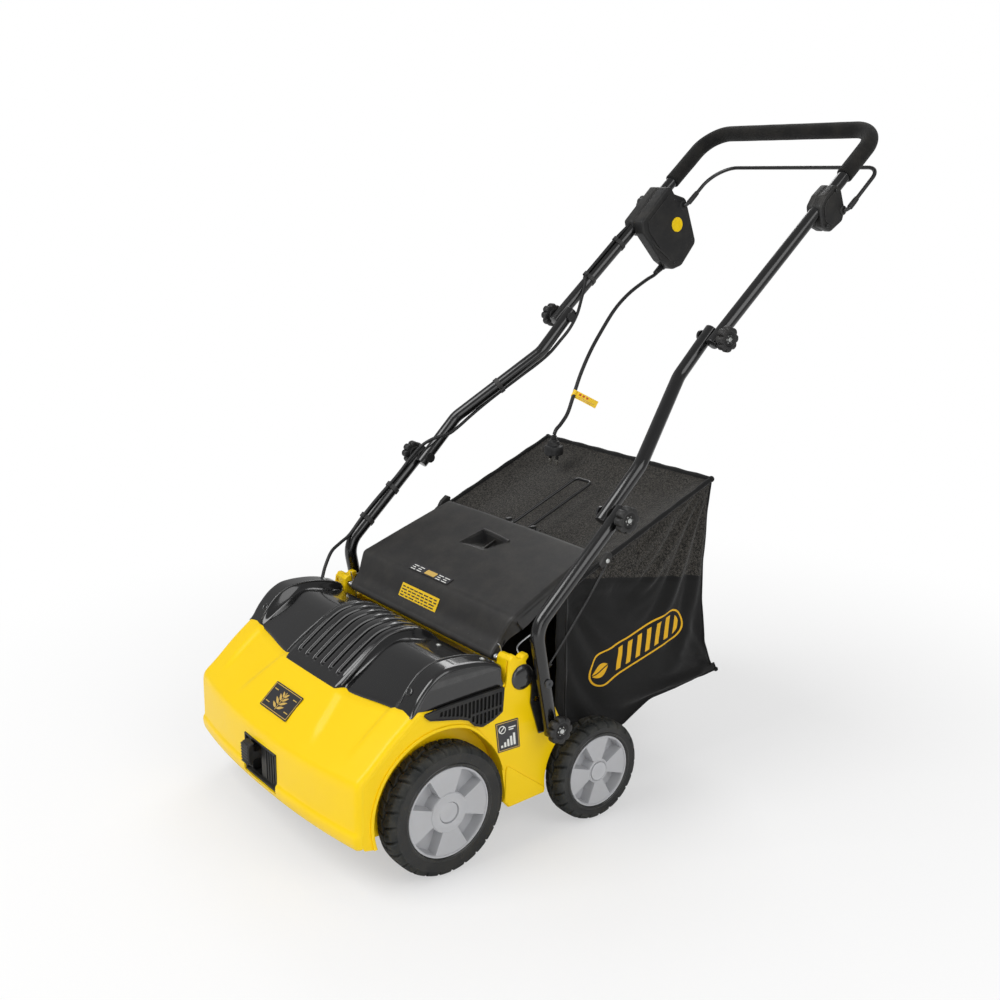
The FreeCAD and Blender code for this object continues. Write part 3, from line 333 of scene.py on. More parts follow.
MAT = {
    "yellow": surface("yellow_shell", "#FFD400", rough=0.40, coat=0.08, coat_rough=0.14,
                      drift=0.03, grain_scale=500, grain_depth=0.00006, grain_strength=0.18,
                      wear=0.18, wear_color=(1.0, 0.80, 0.05, 1), specular=0.25, wave=0.0005),
    "gloss": surface("black_gloss", "#101011", rough=0.17, coat=0.6, coat_rough=0.05,
                     drift=0.12, grain_scale=380, grain_depth=0.00004, grain_strength=0.15,
                     rough_spread=0.08, wear=0.35, wear_color=grey(0.10), wave=0.0005),
    "matte": surface("black_matte", "#111112", rough=0.5, drift=0.1, grain="cells",
                     grain_scale=1100, grain_depth=0.00015, grain_strength=0.4, wear=0.3,
                     wear_color=grey(0.07), dust=0.05),
    "flap": surface("flap_black", "#1f1e1e", rough=0.46, grain="cells", grain_strength=0.4,
                    wear=0.3, wear_color=grey(0.09), dust=0.04),
    "grey": surface("grey_plastic", "#b6b7ba", rough=0.42, drift=0.05, grain="cells",
                    grain_scale=1200, grain_depth=0.00008, grain_strength=0.3, wear=0.3,
                    dust=0.08),
    "tyre": surface("tyre_rubber", "#191c1c", rough=0.66, drift=0.14, grain_scale=700,
                    grain_depth=0.0003, grain_strength=0.5, wear=0.4, specular=0.3,
                    wear_color=(0.07, 0.072, 0.07, 1), dust=0.10),
    "wall": surface("tyre_wall", "#0c0e0e", rough=0.24, drift=0.1, grain_scale=500,
                    grain_strength=0.3, wear=0.3, wear_color=(0.06, 0.062, 0.06, 1), dust=0.06),
    "tube": surface("tube_black", "#070708", rough=0.22, coat=0.45, coat_rough=0.08, drift=0.15,
                    grain_scale=650, grain_depth=0.00006, grain_strength=0.25, wear=0.2,
                    wear_color=grey(0.06)),
    "steel": surface("steel", "#b9bbbd", rough=0.3, metal=1.0, grain="brushed",
                     grain_scale=1500, grain_depth=0.00006, drift=0.08, wear=0.2),
    "zinc": surface("zinc", "#c4c6c4", rough=0.34, metal=1.0, grain="cells", grain_scale=600,
                    grain_depth=0.00008, grain_strength=0.3, drift=0.14, wear=0.2),
    "cast": surface("cast", "#4c4d4f", rough=0.55, metal=0.85, grain="cells", grain_scale=420,
                    grain_depth=0.0003, grain_strength=0.5, drift=0.15, wear=0.3),
    "foam": surface("foam", "#0b0b0b", rough=0.93, drift=0.12, grain="cells", grain_scale=760,
                    grain_depth=0.0006, grain_strength=0.8, rough_spread=0.05, wear=0.0,
                    sheen=0.1, specular=0.3, dust=0.04),
    "belt": surface("belt_rubber", "#161616", rough=0.7, drift=0.1, grain_scale=500,
                    grain_depth=0.0002, grain_strength=0.4, wear=0.2),
    "button": surface("button_grey", "#6c6c6a", rough=0.5, drift=0.08, grain="cells",
                      grain_depth=0.00015, grain_strength=0.4, wear=0.3),
    "cord": surface("cord", "#141415", rough=0.5, drift=0.12, grain_scale=800,
                    grain_depth=0.0001, grain_strength=0.4, wear=0.0),
    "pins": surface("plug_metal", "#c9c6bf", rough=0.25, metal=1.0, grain="brushed",
                    grain_scale=1500, grain_depth=0.00004, grain_strength=0.3, wear=0.1),
    "wire": surface("painted_wire", "#101011", rough=0.3, coat=0.3, drift=0.12,
                    grain_depth=0.00005, grain_strength=0.3, wear=0.2),
    "print_dark": surface("label_dark", "#15131a", rough=0.34, coat=0.5, grain_scale=400,
                          grain_depth=0.00002, grain_strength=0.1, wear=0.1),
    "print_gold": surface("label_gold", "#d2ae57", rough=0.36, coat=0.3, drift=0.12,
                          drift_scale=60, **PRINT),
    "print_white": surface("label_white", "#e9e9e4", rough=0.42, coat=0.2, drift=0.05, **PRINT),
    "print_yellow": surface("label_yellow", "#F8CC0A", rough=0.42, coat=0.3, drift=0.05,
                            **PRINT),
    # near-black that paints the shade inside holes, wells and behind slots (painted shade)
    "dark_hole": surface("painted_recess_shade", "#0a0a0a", rough=0.75, drift=0.1, grain_scale=400,
                         grain_depth=0.0001, grain_strength=0.2, wear=0.0),
    "red": surface("print_red", "#C23A1E", **PRINT),
    "bag": fabric("bag_cloth", "#0b0b0b", thread=0.0024, sheen=0.12, is_bag=True),
    "piping": fabric("bag_piping", "#090909", thread=0.0014, sheen=0.15),
}


# ------------------------------------------------------------------ mesh building

def to_metres(points):
    return (np.asarray(points, float).reshape(-1, 3) + SHIFT) * 0.001


def smoothstep(start, end, value):
    t = np.clip((np.asarray(value, float) - start) / (end - start), 0, 1)
    return t * t * (3 - 2 * t)


def get_coords(mesh):
    coords = np.zeros(len(mesh.vertices) * 3)
    mesh.vertices.foreach_get("co", coords)
    return coords.reshape(-1, 3)


def set_coords(mesh, points):
    """Moves a mesh's vertices to points in drawing millimetres."""
    mesh.vertices.foreach_set("co", to_metres(points).ravel())
    mesh.update()


def smooth(ob, angle):
    """Smooth shading with sharp edges beyond the angle."""
    mesh = ob.data
    mesh.polygons.foreach_set("use_smooth", [True] * len(mesh.polygons))
    mesh.set_sharp_from_angle(angle=radians(angle))
    mesh.update()


def make(verts, faces, mats, name="part", face_mats=None, angle=35.0, merge=0):
    """Mesh object from points in millimetres; points closer than merge become one."""
    mesh = bpy.data.meshes.new(name)
    mesh.from_pydata([tuple(v) for v in to_metres(verts)], [],
                     [tuple(int(i) for i in face) for face in faces])
    for mat in (mats if isinstance(mats, list) else [mats]):
        mesh.materials.append(MAT[mat])
    if face_mats is not None:
        mesh.polygons.foreach_set("material_index", np.asarray(face_mats, np.int32))
    work = bmesh.new()
    work.from_mesh(mesh)
    if merge:
        bmesh.ops.remove_doubles(work, verts=work.verts, dist=merge * 0.001)
    bmesh.ops.recalc_face_normals(work, faces=work.faces)
    work.to_mesh(mesh)
    work.free()
    ob = bpy.data.objects.new(name, mesh)
    scene.collection.objects.link(ob)
    smooth(ob, angle)
    return ob


def bake(ob):
    """Applies every modifier."""
    bpy.context.view_layer.update()
    graph = bpy.context.evaluated_depsgraph_get()
    mesh = bpy.data.meshes.new_from_object(ob.evaluated_get(graph),
                                           preserve_all_data_layers=True, depsgraph=graph)
    old = ob.data
    ob.modifiers.clear()
    ob.data = mesh
    mesh.name = ob.name
    if old.users == 0:
        bpy.data.meshes.remove(old)


def modify(ob, kind, **settings):
    """Adds one modifier and applies it."""
    modifier = ob.modifiers.new(kind.lower(), kind)
    for name, value in settings.items():
        setattr(modifier, name, value)
    bake(ob)


def solidify(ob, thickness, offset=-1.0):
    modify(ob, "SOLIDIFY", thickness=thickness * 0.001, offset=offset, use_rim=True,
           use_even_offset=True)


def cut(ob, tool):
    modify(ob, "BOOLEAN", operation="DIFFERENCE", solver="EXACT", object=tool)
    bpy.data.objects.remove(tool)


def face_towards(ob, direction):
    """Flips an open sheet whose faces mostly look away from the direction."""
    if sum(face.normal.dot(Vector(direction)) for face in ob.data.polygons) < 0:
        ob.data.flip_normals()


def join(name, obs):
    """One object from several, keeping each one's materials."""
    mats = []
    whole = bmesh.new()
    for ob in obs:
        old = ob.data
        slots = []
        for mat in old.materials:
            if mat not in mats:
                mats.append(mat)
            slots.append(mats.index(mat))
        part = bmesh.new()
        part.from_mesh(old)
        for face in part.faces:
            face.material_index = slots[face.material_index]
        renumbered = bpy.data.meshes.new("renumbered")
        part.to_mesh(renumbered)
        part.free()
        whole.from_mesh(renumbered)
        bpy.data.meshes.remove(renumbered)
        bpy.data.objects.remove(ob)
        if old.users == 0:
            bpy.data.meshes.remove(old)
    mesh = bpy.data.meshes.new(name)
    whole.to_mesh(mesh)
    whole.free()
    for mat in mats:
        mesh.materials.append(mat)
    joined = bpy.data.objects.new(name, mesh)
    scene.collection.objects.link(joined)
    return joined


def piece(ob, body, *replaced, slot=None):
    """Hands a finished object to the frame."""
    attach(ob, body)
    if replaced:
        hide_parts(*replaced)


def turn(ob, matrix):
    """Moves a mesh by a matrix that acts on drawing coordinates."""
    matrix = np.array(matrix)
    points = get_coords(ob.data) * 1000 - SHIFT
    set_coords(ob.data, points @ matrix[:3, :3].T + matrix[:3, 3])


# ------------------------------------------------------------------ outlines and paths

def fillet(points, radius, steps=5):
    """Rounds the corners of a closed 2-D polygon; radius is one number or one per corner."""
    rounded = []
    for i, point in enumerate(points):
        wanted = radius[i] if isinstance(radius, list) else radius
        corner = Vector(point)
        back = Vector(points[i - 1]) - corner
        ahead = Vector(points[(i + 1) % len(points)]) - corner
        room_back, room_ahead = back.length, ahead.length
        back.normalize()
        ahead.normalize()
        angle = acos(max(-1, min(1, back.dot(ahead))))
        if wanted <= 0 or angle > pi - 0.06:
            rounded.append(tuple(corner))
            continue
        run = min(wanted / tan(angle / 2), room_back * 0.48, room_ahead * 0.48)
        fitted = run * tan(angle / 2)
        start, end = corner + back * run, corner + ahead * run
        centre = corner + (back + ahead).normalized() * (fitted / sin(angle / 2))
        first = atan2(start.y - centre.y, start.x - centre.x)
        total = atan2(end.y - centre.y, end.x - centre.x) - first
        total = (total + pi) % (2 * pi) - pi
        for k in range(steps + 1):
            rounded.append((centre.x + fitted * cos(first + total * k / steps),
                            centre.y + fitted * sin(first + total * k / steps)))
    return rounded


def rect(x0, y0, x1, y1, radius=0.0, steps=3):
    corners = [(x0, y0), (x1, y0), (x1, y1), (x0, y1)]
    return fillet(corners, radius, steps) if radius else corners


def circle(cy, cz, radius, count):
    return [(cy + radius * cos(2 * pi * k / count), cz + radius * sin(2 * pi * k / count))
            for k in range(count)]


def arc(cy, cz, radius, start, end, steps):
    angles = [radians(start + (end - start) * k / steps) for k in range(steps + 1)]
    return [(cy + radius * cos(a), cz + radius * sin(a)) for a in angles]


def shrink(points, factor):
    """Scales an outline about the mean of its points."""
    cy = sum(p[0] for p in points) / len(points)
    cz = sum(p[1] for p in points) / len(points)
    return [(cy + (p[0] - cy) * factor, cz + (p[1] - cz) * factor) for p in points]


def normals(line):
    """Unit normals on the left of an open 2-D line."""
    tangent = np.gradient(line, axis=0)
    tangent /= np.linalg.norm(tangent, axis=1)[:, None]
    return np.stack([-tangent[:, 1], tangent[:, 0]], 1)


def even_points(line, count):
    """count points evenly spaced along a 2-D line."""
    steps = np.linalg.norm(np.diff(line, axis=0), axis=1)
    along = np.concatenate([[0], np.cumsum(steps)])
    wanted = np.linspace(0, along[-1], count)
    return np.stack([np.interp(wanted, along, line[:, i]) for i in (0, 1)], 1)


def smooth_path(points, per=8):
    """Catmull-Rom curve through 3-D points, with per steps between two points."""
    knots = [Vector(p) for p in points]
    knots = [knots[0] * 2 - knots[1]] + knots + [knots[-1] * 2 - knots[-2]]
    curve = []
    for before, start, end, after in zip(knots, knots[1:], knots[2:], knots[3:]):
        for k in range(per):
            t = k / per
            curve.append(0.5 * ((2 * start) + (end - before) * t
                                + (2 * before - 5 * start + 4 * end - after) * t * t
                                + (3 * start - before - 3 * end + after) * t ** 3))
    curve.append(knots[-2])
    return curve


def spline(points, count):
    """count even points along a Catmull-Rom curve through 2-D points."""
    curve = smooth_path([(a, b, 0) for a, b in points], 14)
    return even_points(np.array([tuple(v)[:2] for v in curve]), count)


def bent_path(points, bend, steps):
    """3-D polyline with rounded corners; bend is one radius or one per inner corner."""
    points = [Vector(p) for p in points]
    path = [points[0]]
    for i in range(1, len(points) - 1):
        radius = bend[i - 1] if isinstance(bend, list) else bend
        back, ahead = points[i - 1] - points[i], points[i + 1] - points[i]
        room_back, room_ahead = back.length, ahead.length
        back.normalize()
        ahead.normalize()
        half = acos(max(-1, min(1, back.dot(ahead)))) / 2
        run = min(radius / tan(half), room_back * 0.49, room_ahead * 0.49)
        fitted = run * tan(half)
        centre = points[i] + (back + ahead).normalized() * (fitted / sin(half))
        start, end = points[i] + back * run - centre, points[i] + ahead * run - centre
        total = start.angle(end)
        for k in range(steps + 1):
            t = k / steps
            path.append(centre + (start * sin((1 - t) * total) + end * sin(t * total))
                        / sin(total))
    path.append(points[-1])
    return path


# ------------------------------------------------------------------ basic solids

def grid_faces(rows, columns, closed_rows=False, closed_columns=False, first=0):
    faces = []
    for i in range(rows if closed_rows else rows - 1):
        for j in range(columns if closed_columns else columns - 1):
            a, b = first + i * columns, first + (i + 1) % rows * columns
            k = (j + 1) % columns
            faces.append((a + j, b + j, b + k, a + k))
    return faces


BOX_FACES = [(0, 1, 3, 2), (4, 6, 7, 5), (0, 4, 5, 1), (2, 3, 7, 6), (0, 2, 6, 4), (1, 5, 7, 3)]


def box(x0, x1, y0, y1, z0, z1):
    verts = [(x, y, z) for x in (x0, x1) for y in (y0, y1) for z in (z0, z1)]
    return make(verts, BOX_FACES, "yellow")


def span(side, near, far):
    """Low and high X of a slab between two distances from the middle plane."""
    return sorted((side * near, side * far))


# where each drawing axis is found in a plate's (outline a, outline b, thickness)
PLATE_AXES = {"x": [2, 0, 1], "z": [0, 1, 2], "y": [1, 2, 0]}


def plate(outline, lo, hi, mat, edge=0.8, holes=(), axis="x", seg=3, angle=40.0):
    """Flat plate with rounded rims; outline in (y, z) for axis x, (x, y) for z, (z, x) for y."""
    edge = min(edge, (hi - lo) * 0.49)
    curve = bpy.data.curves.new("plate", "CURVE")
    curve.dimensions = "2D"
    curve.fill_mode = "BOTH"
    curve.bevel_depth = edge
    curve.bevel_resolution = seg
    curve.extrude = (hi - lo) / 2 - edge
    curve.offset = -edge
    for loop in [outline] + list(holes):
        line = curve.splines.new("POLY")
        line.points.add(len(loop) - 1)
        for i, (a, b) in enumerate(loop):
            line.points[i].co = (a, b, 0, 1)
        line.use_cyclic_u = True
    holder = bpy.data.objects.new("plate_curve", curve)
    scene.collection.objects.link(holder)
    bpy.context.view_layer.update()
    graph = bpy.context.evaluated_depsgraph_get()
    mesh = bpy.data.meshes.new_from_object(holder.evaluated_get(graph))
    coords = get_coords(mesh)
    coords[:, 2] += (lo + hi) / 2
    faces = [tuple(p.vertices) for p in mesh.polygons]
    bpy.data.objects.remove(holder)
    bpy.data.curves.remove(curve)
    bpy.data.meshes.remove(mesh)
    return make(coords[:, PLATE_AXES[axis]], faces, mat, angle=angle, merge=0.004)


def sweep(points, radius, mat, seg=20, radii=None, name="part"):
    """Round bar along a path with rounded ends; radii gives one radius per path point."""
    points = [Vector(p) for p in points]
    radii = list(radii) if radii is not None else [radius] * len(points)
    first_dir = (points[1] - points[0]).normalized()
    last_dir = (points[-1] - points[-2]).normalized()
    end = min(1.4, radius * 0.35)

    def cap(point, inwards, at_end):
        return [(point + inwards * (end - end * cos(pi / 2 * t)),
                 at_end - end + end * sin(pi / 2 * t)) for t in (0.0, 0.3, 0.7, 1.0)]

    rows = (cap(points[0], first_dir, radii[0]) + list(zip(points[1:-1], radii[1:-1]))
            + cap(points[-1], -last_dir, radii[-1])[::-1])
    rows = [row for i, row in enumerate(rows)
            if i == 0 or (row[0] - rows[i - 1][0]).length > 1e-6
            or abs(row[1] - rows[i - 1][1]) > 1e-6]
    count = len(rows)
    tangents = []
    for i in range(count):
        if i < 4:
            tangents.append(first_dir)
        elif i >= count - 4:
            tangents.append(last_dir)
        else:
            tangents.append((rows[i + 1][0] - rows[i - 1][0]).normalized())
    up = Vector((0, 0, 1)) if abs(tangents[0].z) < 0.9 else Vector((0, 1, 0))
    across = tangents[0].cross(up).normalized()
    verts = []
    for i, (point, row_radius) in enumerate(rows):
        tangent = tangents[i]
        if i:
            # carry the ring round the bend without twisting it
            pivot = tangents[i - 1].cross(tangent)
            if pivot.length > 1e-9:
                angle = tangents[i - 1].angle(tangent)
                across = Matrix.Rotation(angle, 3, pivot.normalized()) @ across
        across = (across - tangent * across.dot(tangent)).normalized()
        other = tangent.cross(across)
        for j in range(seg):
            a = 2 * pi * j / seg
            verts.append(point + (across * cos(a) + other * sin(a)) * row_radius)
    faces = grid_faces(count, seg, closed_columns=True)
    faces += [tuple(range(seg)), tuple(range((count - 1) * seg, count * seg))]
    return make(verts, faces, mat, name, angle=40)


def lathe(profile, centre, mat, axis="x", side=1, seg=48, lobes=None, angle=32.0, name="part"):
    """Solid of revolution about X or Z; profile is (distance along the axis, radius).

    lobes(angle, along, radius) returns a changed radius.
    """
    cx, cy, cz = centre
    verts = []
    for j in range(seg):
        a = 2 * pi * j / seg
        for along, radius in profile:
            if lobes:
                radius = lobes(a, along, radius)
            u, v = radius * cos(a), radius * sin(a)
            if axis == "x":
                verts.append((cx + side * along, cy + u, cz + v))
            else:
                verts.append((cx + u, cy + v, cz + side * along))
    count = len(profile)
    faces = grid_faces(seg, count, closed_rows=True)
    faces += [tuple(j * count + k for j in range(seg)) for k in (0, count - 1)]
    return make(verts, faces, mat, name, angle=angle, merge=0.004)


def rounded_columns(half, corner, steps, flat):
    """(x, drop) columns of a skin: the flat ones between two rounded side edges."""
    side = [(half - corner + corner * sin(t), corner * (1 - cos(t)))
            for t in np.linspace(0, pi / 2, steps)[1:]]
    return [(-x, drop) for x, drop in side[::-1]] + [(x, 0.0) for x in flat] + side


# ------------------------------------------------------------------ hood

HOOD_HALF = 254.0
HOOD_CORNER = 9.0
HOOD_FOOT = 76.2
ARCH_Z = 106

# (y from the nose, z) up the nose, then (y, z) from the nose's upper edge round that edge
NOSE_LOW = [(9, 76.2), (4, 76.2), (0.5, 77.6), (-2.6, 82), (-4.6, 90), (-5.0, 96), (-4.6, 100.0),
            (-3.2, 102.8), (-1.8, 104.2), (-1.3, 107), (-1.0, 116), (-0.8, 130), (-0.5, 145)]
NOSE_EDGE = [(-0.2, -16), (0.2, -10), (1.2, -4.6), (3.2, 0.2), (6.4, 3.9), (10.4, 7.4)]


def hood_profile(x):
    """(y, z) line from the nose's foot over the slope to the shelf, x from the middle."""
    nose_y = -160.5 + 20 * (x / 252.0) ** 2.3
    nose_z = 172 + 7 * (x / 252.0) ** 2
    rise = (x / 250.0) ** 3
    crest = np.array((-73 + 36 * rise, 239.5 + 17.5 * rise))
    nose = [(nose_y + dy, z) for dy, z in NOSE_LOW]
    nose += [(nose_y + dy, nose_z + dz) for dy, dz in NOSE_EDGE]
    foot = np.array(nose[-1])
    steps = 26
    slope = [tuple(foot + (crest - foot) * k / steps) for k in range(1, steps + 1)]
    shelf_start = np.array((0.0, 258.2))
    shelf = [tuple(crest + (shelf_start - crest) * k / 6) for k in range(1, 7)]
    shelf += [(112.0 * k / 8, 258.2 + 3.4 * k / 8) for k in range(1, 9)]
    line = np.array(nose + slope + shelf)

    # the slope swells in the middle and along the sides
    down = 1 - np.arange(1, steps + 1) / steps
    swell = 4.6 * (1 - smoothstep(0.5, 1.0, down)) * (1 - smoothstep(-4, 13, x - (88 + 30 * down)))
    swell = swell + 4.2 * (1 - smoothstep(0.35, 0.95, down)) * smoothstep(194, 208, x)
    lift = np.zeros(len(line))
    start, end = len(nose), len(nose) + steps
    lift[start:end] = swell
    lift[end:end + 4] = swell[-1] * np.array([0.7, 0.4, 0.2, 0.0])
    return line + normals(line) * lift[:, None]


def hood_skin():
    flat_half = HOOD_HALF - HOOD_CORNER
    columns = rounded_columns(HOOD_HALF, HOOD_CORNER, 8, np.linspace(-flat_half, flat_half, 121))
    verts = []
    for x, drop in columns:
        line = hood_profile(min(abs(x), HOOD_HALF))
        line = line - normals(line) * drop
        verts += [(x, y, max(z, HOOD_FOOT)) for y, z in line]
    skin = make(verts, grid_faces(len(columns), len(line)), "yellow", angle=40)
    face_towards(skin, (0, -1, 1))
    solidify(skin, 3.6)
    cut(skin, box(-52, 52, -190, -140, 88.4, 151.6))    # the gate's opening
    smooth(skin, 42)
    return skin


def arch_line(extra, start, end, steps):
    """Front wheel arch, a little tighter behind the wheel than above it; degrees from +Y."""
    line = []
    for k in range(steps + 1):
        a = start + (end - start) * k / steps
        tighter = 6.0 * float(smoothstep(72, 44, a)) * float(smoothstep(-17, 6, a))
        radius = 116.0 - tighter + extra
        line.append((radius * cos(radians(a)), ARCH_Z + radius * sin(radians(a))))
    return line


def rear_arch(radius, start, end, steps):
    return arc(REAR_AXLE_Y, REAR_RADIUS, radius, start, end, steps)


# (y, z) of the hood side's upper rear edge, from the rear arch to the pillar
SIDE_REAR = [(236, 163), (230, 168), (222, 175.5), (213, 194), (203, 216), (190, 240),
             (186.5, 239), (185, 232), (191, 206), (187, 198), (172, 196), (166, 206), (168, 226),
             (158, 262), (152, 294), (148, 297), (122, 298), (116, 263)]
SKIRT = [(121.5, 62.2), (188, 65.4), (190.2, 73.5), (117.5, 131.5), (114.6, 124), (112.4, 72.5)]
POCKET = [(150, 160), (236, 160), (222, 176), (212, 195), (188, 241), (158, 264), (146, 262)]
POCKET_RIM = [(190, 240), (203, 216), (213, 194), (222, 175.5), (230, 168), (236, 163), (236, 160),
              (232, 160), (227, 165), (219, 172), (209, 191), (199, 214), (187.5, 236)]
LEDGE = [(150, 249), (166, 236), (168, 228), (160, 223), (148, 222), (146, 240)]
PILLAR = [(118, 252), (117.5, 262), (121, 276), (126, 288), (122, 297), (127, 303.5), (134, 303),
          (138, 297), (143, 296.5), (149, 301), (156.5, 301.5), (158.5, 296), (153.5, 291),
          (150, 282), (152, 262), (152, 252)]
HINGE_ARM = [(119, 262), (119.5, 276), (122, 290), (122.5, 297), (128, 302), (136, 300.5),
             (140, 292), (140, 277), (146, 262)]
SHOULDER = [(112, 262), (118, 263.5), (157, 265), (157, 260.5), (112, 257.5)]
REAR_WALL = [(157, 264.5), (188, 240.5), (212.5, 194.5), (223, 175), (218.5, 172.5),
             (208.5, 191.5), (184.5, 237), (155, 260.2)]
HOOD_RIB = [(-148, 110), (-148, 168), (-76, 226), (-60, 230), (-60, 226), (-82, 214), (-132, 160),
            (-136, 110)]


def hood_side_outline():
    """The skin's end profile closed round both wheel arches, near-double points dropped."""
    end = hood_profile(HOOD_HALF)
    end = end - normals(end) * HOOD_CORNER
    end[:, 1] = np.maximum(end[:, 1], HOOD_FOOT)
    end = [tuple(p) for p in end]
    outline = [(end[0][0], HOOD_FOOT), (-110.6, 71.6)] + arch_line(0, 197.5, -17.0, 60)[1:-1]
    outline += [(110.9, 72.1), (120, 61.5), (189.5, 64.4)] + rear_arch(90, 190.6, 119.8, 22)[1:]
    outline += SIDE_REAR + end[::-1][:-1]
    clean = []
    for p in outline:
        if not clean or hypot(p[0] - clean[-1][0], p[1] - clean[-1][1]) > 0.4:
            clean.append(p)
    return clean


def hood_side(side):
    def slab(outline, near, far, edge, **settings):
        return plate(outline, *span(side, near, far), "yellow", edge=edge, **settings)

    flare = arch_line(1.6, 12, 30, 8) + arch_line(2.2, 34, 44, 6)
    flare += arch_line(5.4, 56, 118, 34) + arch_line(5.4, 122, 196, 26)
    flare += arch_line(0.2, 196.5, 11.0, 64)
    return [
        slab(hood_side_outline(), 250.2, HOOD_HALF, 0.7, holes=[circle(*DECK_KNOB, 5.2, 20)],
             angle=35),
        # wheel arch liners and the walls on their inner side
        slab(arch_line(0, 197.4, -17.2, 64) + arch_line(3.6, -16.6, 196.8, 64), 223.0, 251.0, 0.5),
        slab(rear_arch(90, 191.5, 120.3, 24) + rear_arch(93.6, 122.4, 190.2, 24),
             223.0, 251.0, 0.5),
        slab(arc(0, ARCH_Z, 118.5, 196, -16, 60), 221.0, 225.0, 0.5,
             holes=[circle(0, 108.5, 24, 40)]),
        slab(rear_arch(92, 190, 122, 20) + [(231, 168), (196, 168), (186, 120), (187, 66)],
             221.0, 225.0, 0.5),
        # rounded flare round the front arch, raised lower panel behind it
        slab(flare, 252.6, 256.6, 1.3, seg=4),
        slab(fillet(SKIRT, 2.0, 3), 253.0, 256.0, 1.2, seg=4),
        # pocket behind the tube's foot
        slab(POCKET, 238.0, 240.5, 0.5),
        slab(POCKET_RIM, 238.0, 252.0, 0.8),
        slab(fillet(LEDGE, 2.0, 3), 240.0, 252.0, 1.5),
        # pillar and hinge lug, and the shoulder that joins them to the rear wall
        slab(fillet(PILLAR, 2.4, 4), 240.0, 254.2, 1.8, seg=4),
        slab(fillet(HINGE_ARM, 3.0, 4), 222.0, 246.0, 1.8, holes=[circle(*HINGE, 3.3, 24)], seg=4),
        slab(SHOULDER, 222.0, 251.0, 0.6),
    ]


hood_parts = [hood_skin()] + hood_side(-1) + hood_side(1)
hood_parts.append(plate(REAR_WALL, -250.5, 250.5, "yellow"))
hood_parts += [plate(HOOD_RIB, x - 1.2, x + 1.2, "yellow", edge=0.4) for x in (-150, -60, 60, 150)]
piece(join("hood_shell", hood_parts), "deck", "hood", slot="yellow_shell")

# ------------------------------------------------------------------ gate in the nose and lever

# frame bars as (z0, x0, z1, x1)
GATE_BARS = [(88.6, -51.6, 91.4, 51.6), (148.6, -51.6, 151.4, 51.6), (88.6, -51.6, 151.4, -48.8),
             (88.6, 48.8, 151.4, 51.6)]

gate = [plate(rect(89, -51.4, 151, 51.4, 1.5), -157.2, -154.6, "matte", edge=0.5, axis="y",
              holes=[rect(92, -38.5, 147, -5.5, 2.0)])]
gate += [plate(rect(*bar, 0.8, 2), -162.2, -155.5, "matte", edge=0.6, axis="y")
         for bar in GATE_BARS]
gate += [plate(rect(96, x - 1.2, 144, x + 1.2, 0.6, 2), -158.6, -156.8, "matte", edge=0.5, axis="y")
         for x in (12, 20, 28, 36)]
# wall, floor and back of the well behind the slot, in near-black that paints the well's shade
gate += [
    plate(rect(-156, 87, -112, 153), -43.0, -41.0, "dark_hole", edge=0.3),
    plate(rect(-43, -156, -1, -118), 86.5, 88.3, "dark_hole", edge=0.3, axis="z"),
    plate(rect(88, -42, 152, -36), -114.0, -112.0, "dark_hole", edge=0.3, axis="y"),
]
piece(join("depth_gate_frame", gate), "deck", "depth_gate", slot="black_matte")

# cranked arm with a ribbed grip, (y, z)
LEVER = [(-66, 101), (-52, 103), (-50, 118), (-60, 123.5), (-156, 134.5), (-165, 135.5),
         (-165.5, 149.5), (-174, 147.5), (-177.3, 142), (-177.3, 120), (-173.5, 112.5),
         (-169.8, 112.5), (-169.2, 118.5), (-164.5, 122), (-156, 121.5), (-72, 104)]
LEVER_BOSS = [(0, 6.1), (0, 11), (0.8, 12), (23.2, 12), (24, 11), (24, 6.1)]

lever = [plate(fillet(LEVER, 1.5, 4), -34, -10, "matte", edge=2.2, seg=4)]
for i in range(7):
    z = 115.5 + i * 4.7
    rib = [(-178.6, z), (-176.2, z - 1.0), (-175.0, z + 0.3), (-175.0, z + 1.8), (-176.2, z + 2.6)]
    lever.append(plate(fillet(rib, 0.5, 2), -33, -11, "matte", edge=0.7))
lever.append(lathe(LEVER_BOSS, (-34, -60, 112), "matte", seg=40))
piece(join("depth_lever_grip", lever), "front_crank", "depth_lever", slot="black_matte")

# ------------------------------------------------------------------ top cover

COVER_HALF = 251.0
COVER_CORNER = 7
ROWS = 76    # points in each front-to-rear line of the cover
HUMP_GROOVES = (-60, -36, -12, 12, 36, 60)
HUMP_RIDGES = (-72, -48, -24, 0, 24, 48, 72)

# front-to-rear (y, z) lines of the side arms, the centre hump and the panels between them
ARM = spline([(-50, 252), (-44, 262), (-32, 279), (-14, 297), (6, 308), (24, 310.5), (46, 310),
              (70, 307), (94, 300.5), (111, 292), (113.5, 280), (113.5, 262)], ROWS)
HUMP = spline([(-74, 236), (-71.5, 246), (-60, 255.5), (-40, 270), (-18, 285.5), (4, 299.5),
               (22, 308), (42, 311.5), (62, 311), (82, 305.5), (98, 297), (108, 288)], ROWS)
PANEL = spline([(-61, 242.5), (-57, 248), (-44, 257.5), (-22, 272.5), (-2, 285.5), (14, 294.5),
                (30, 299.5), (46, 299.5), (62, 296), (80, 291), (98, 286.5), (110, 283)], ROWS)


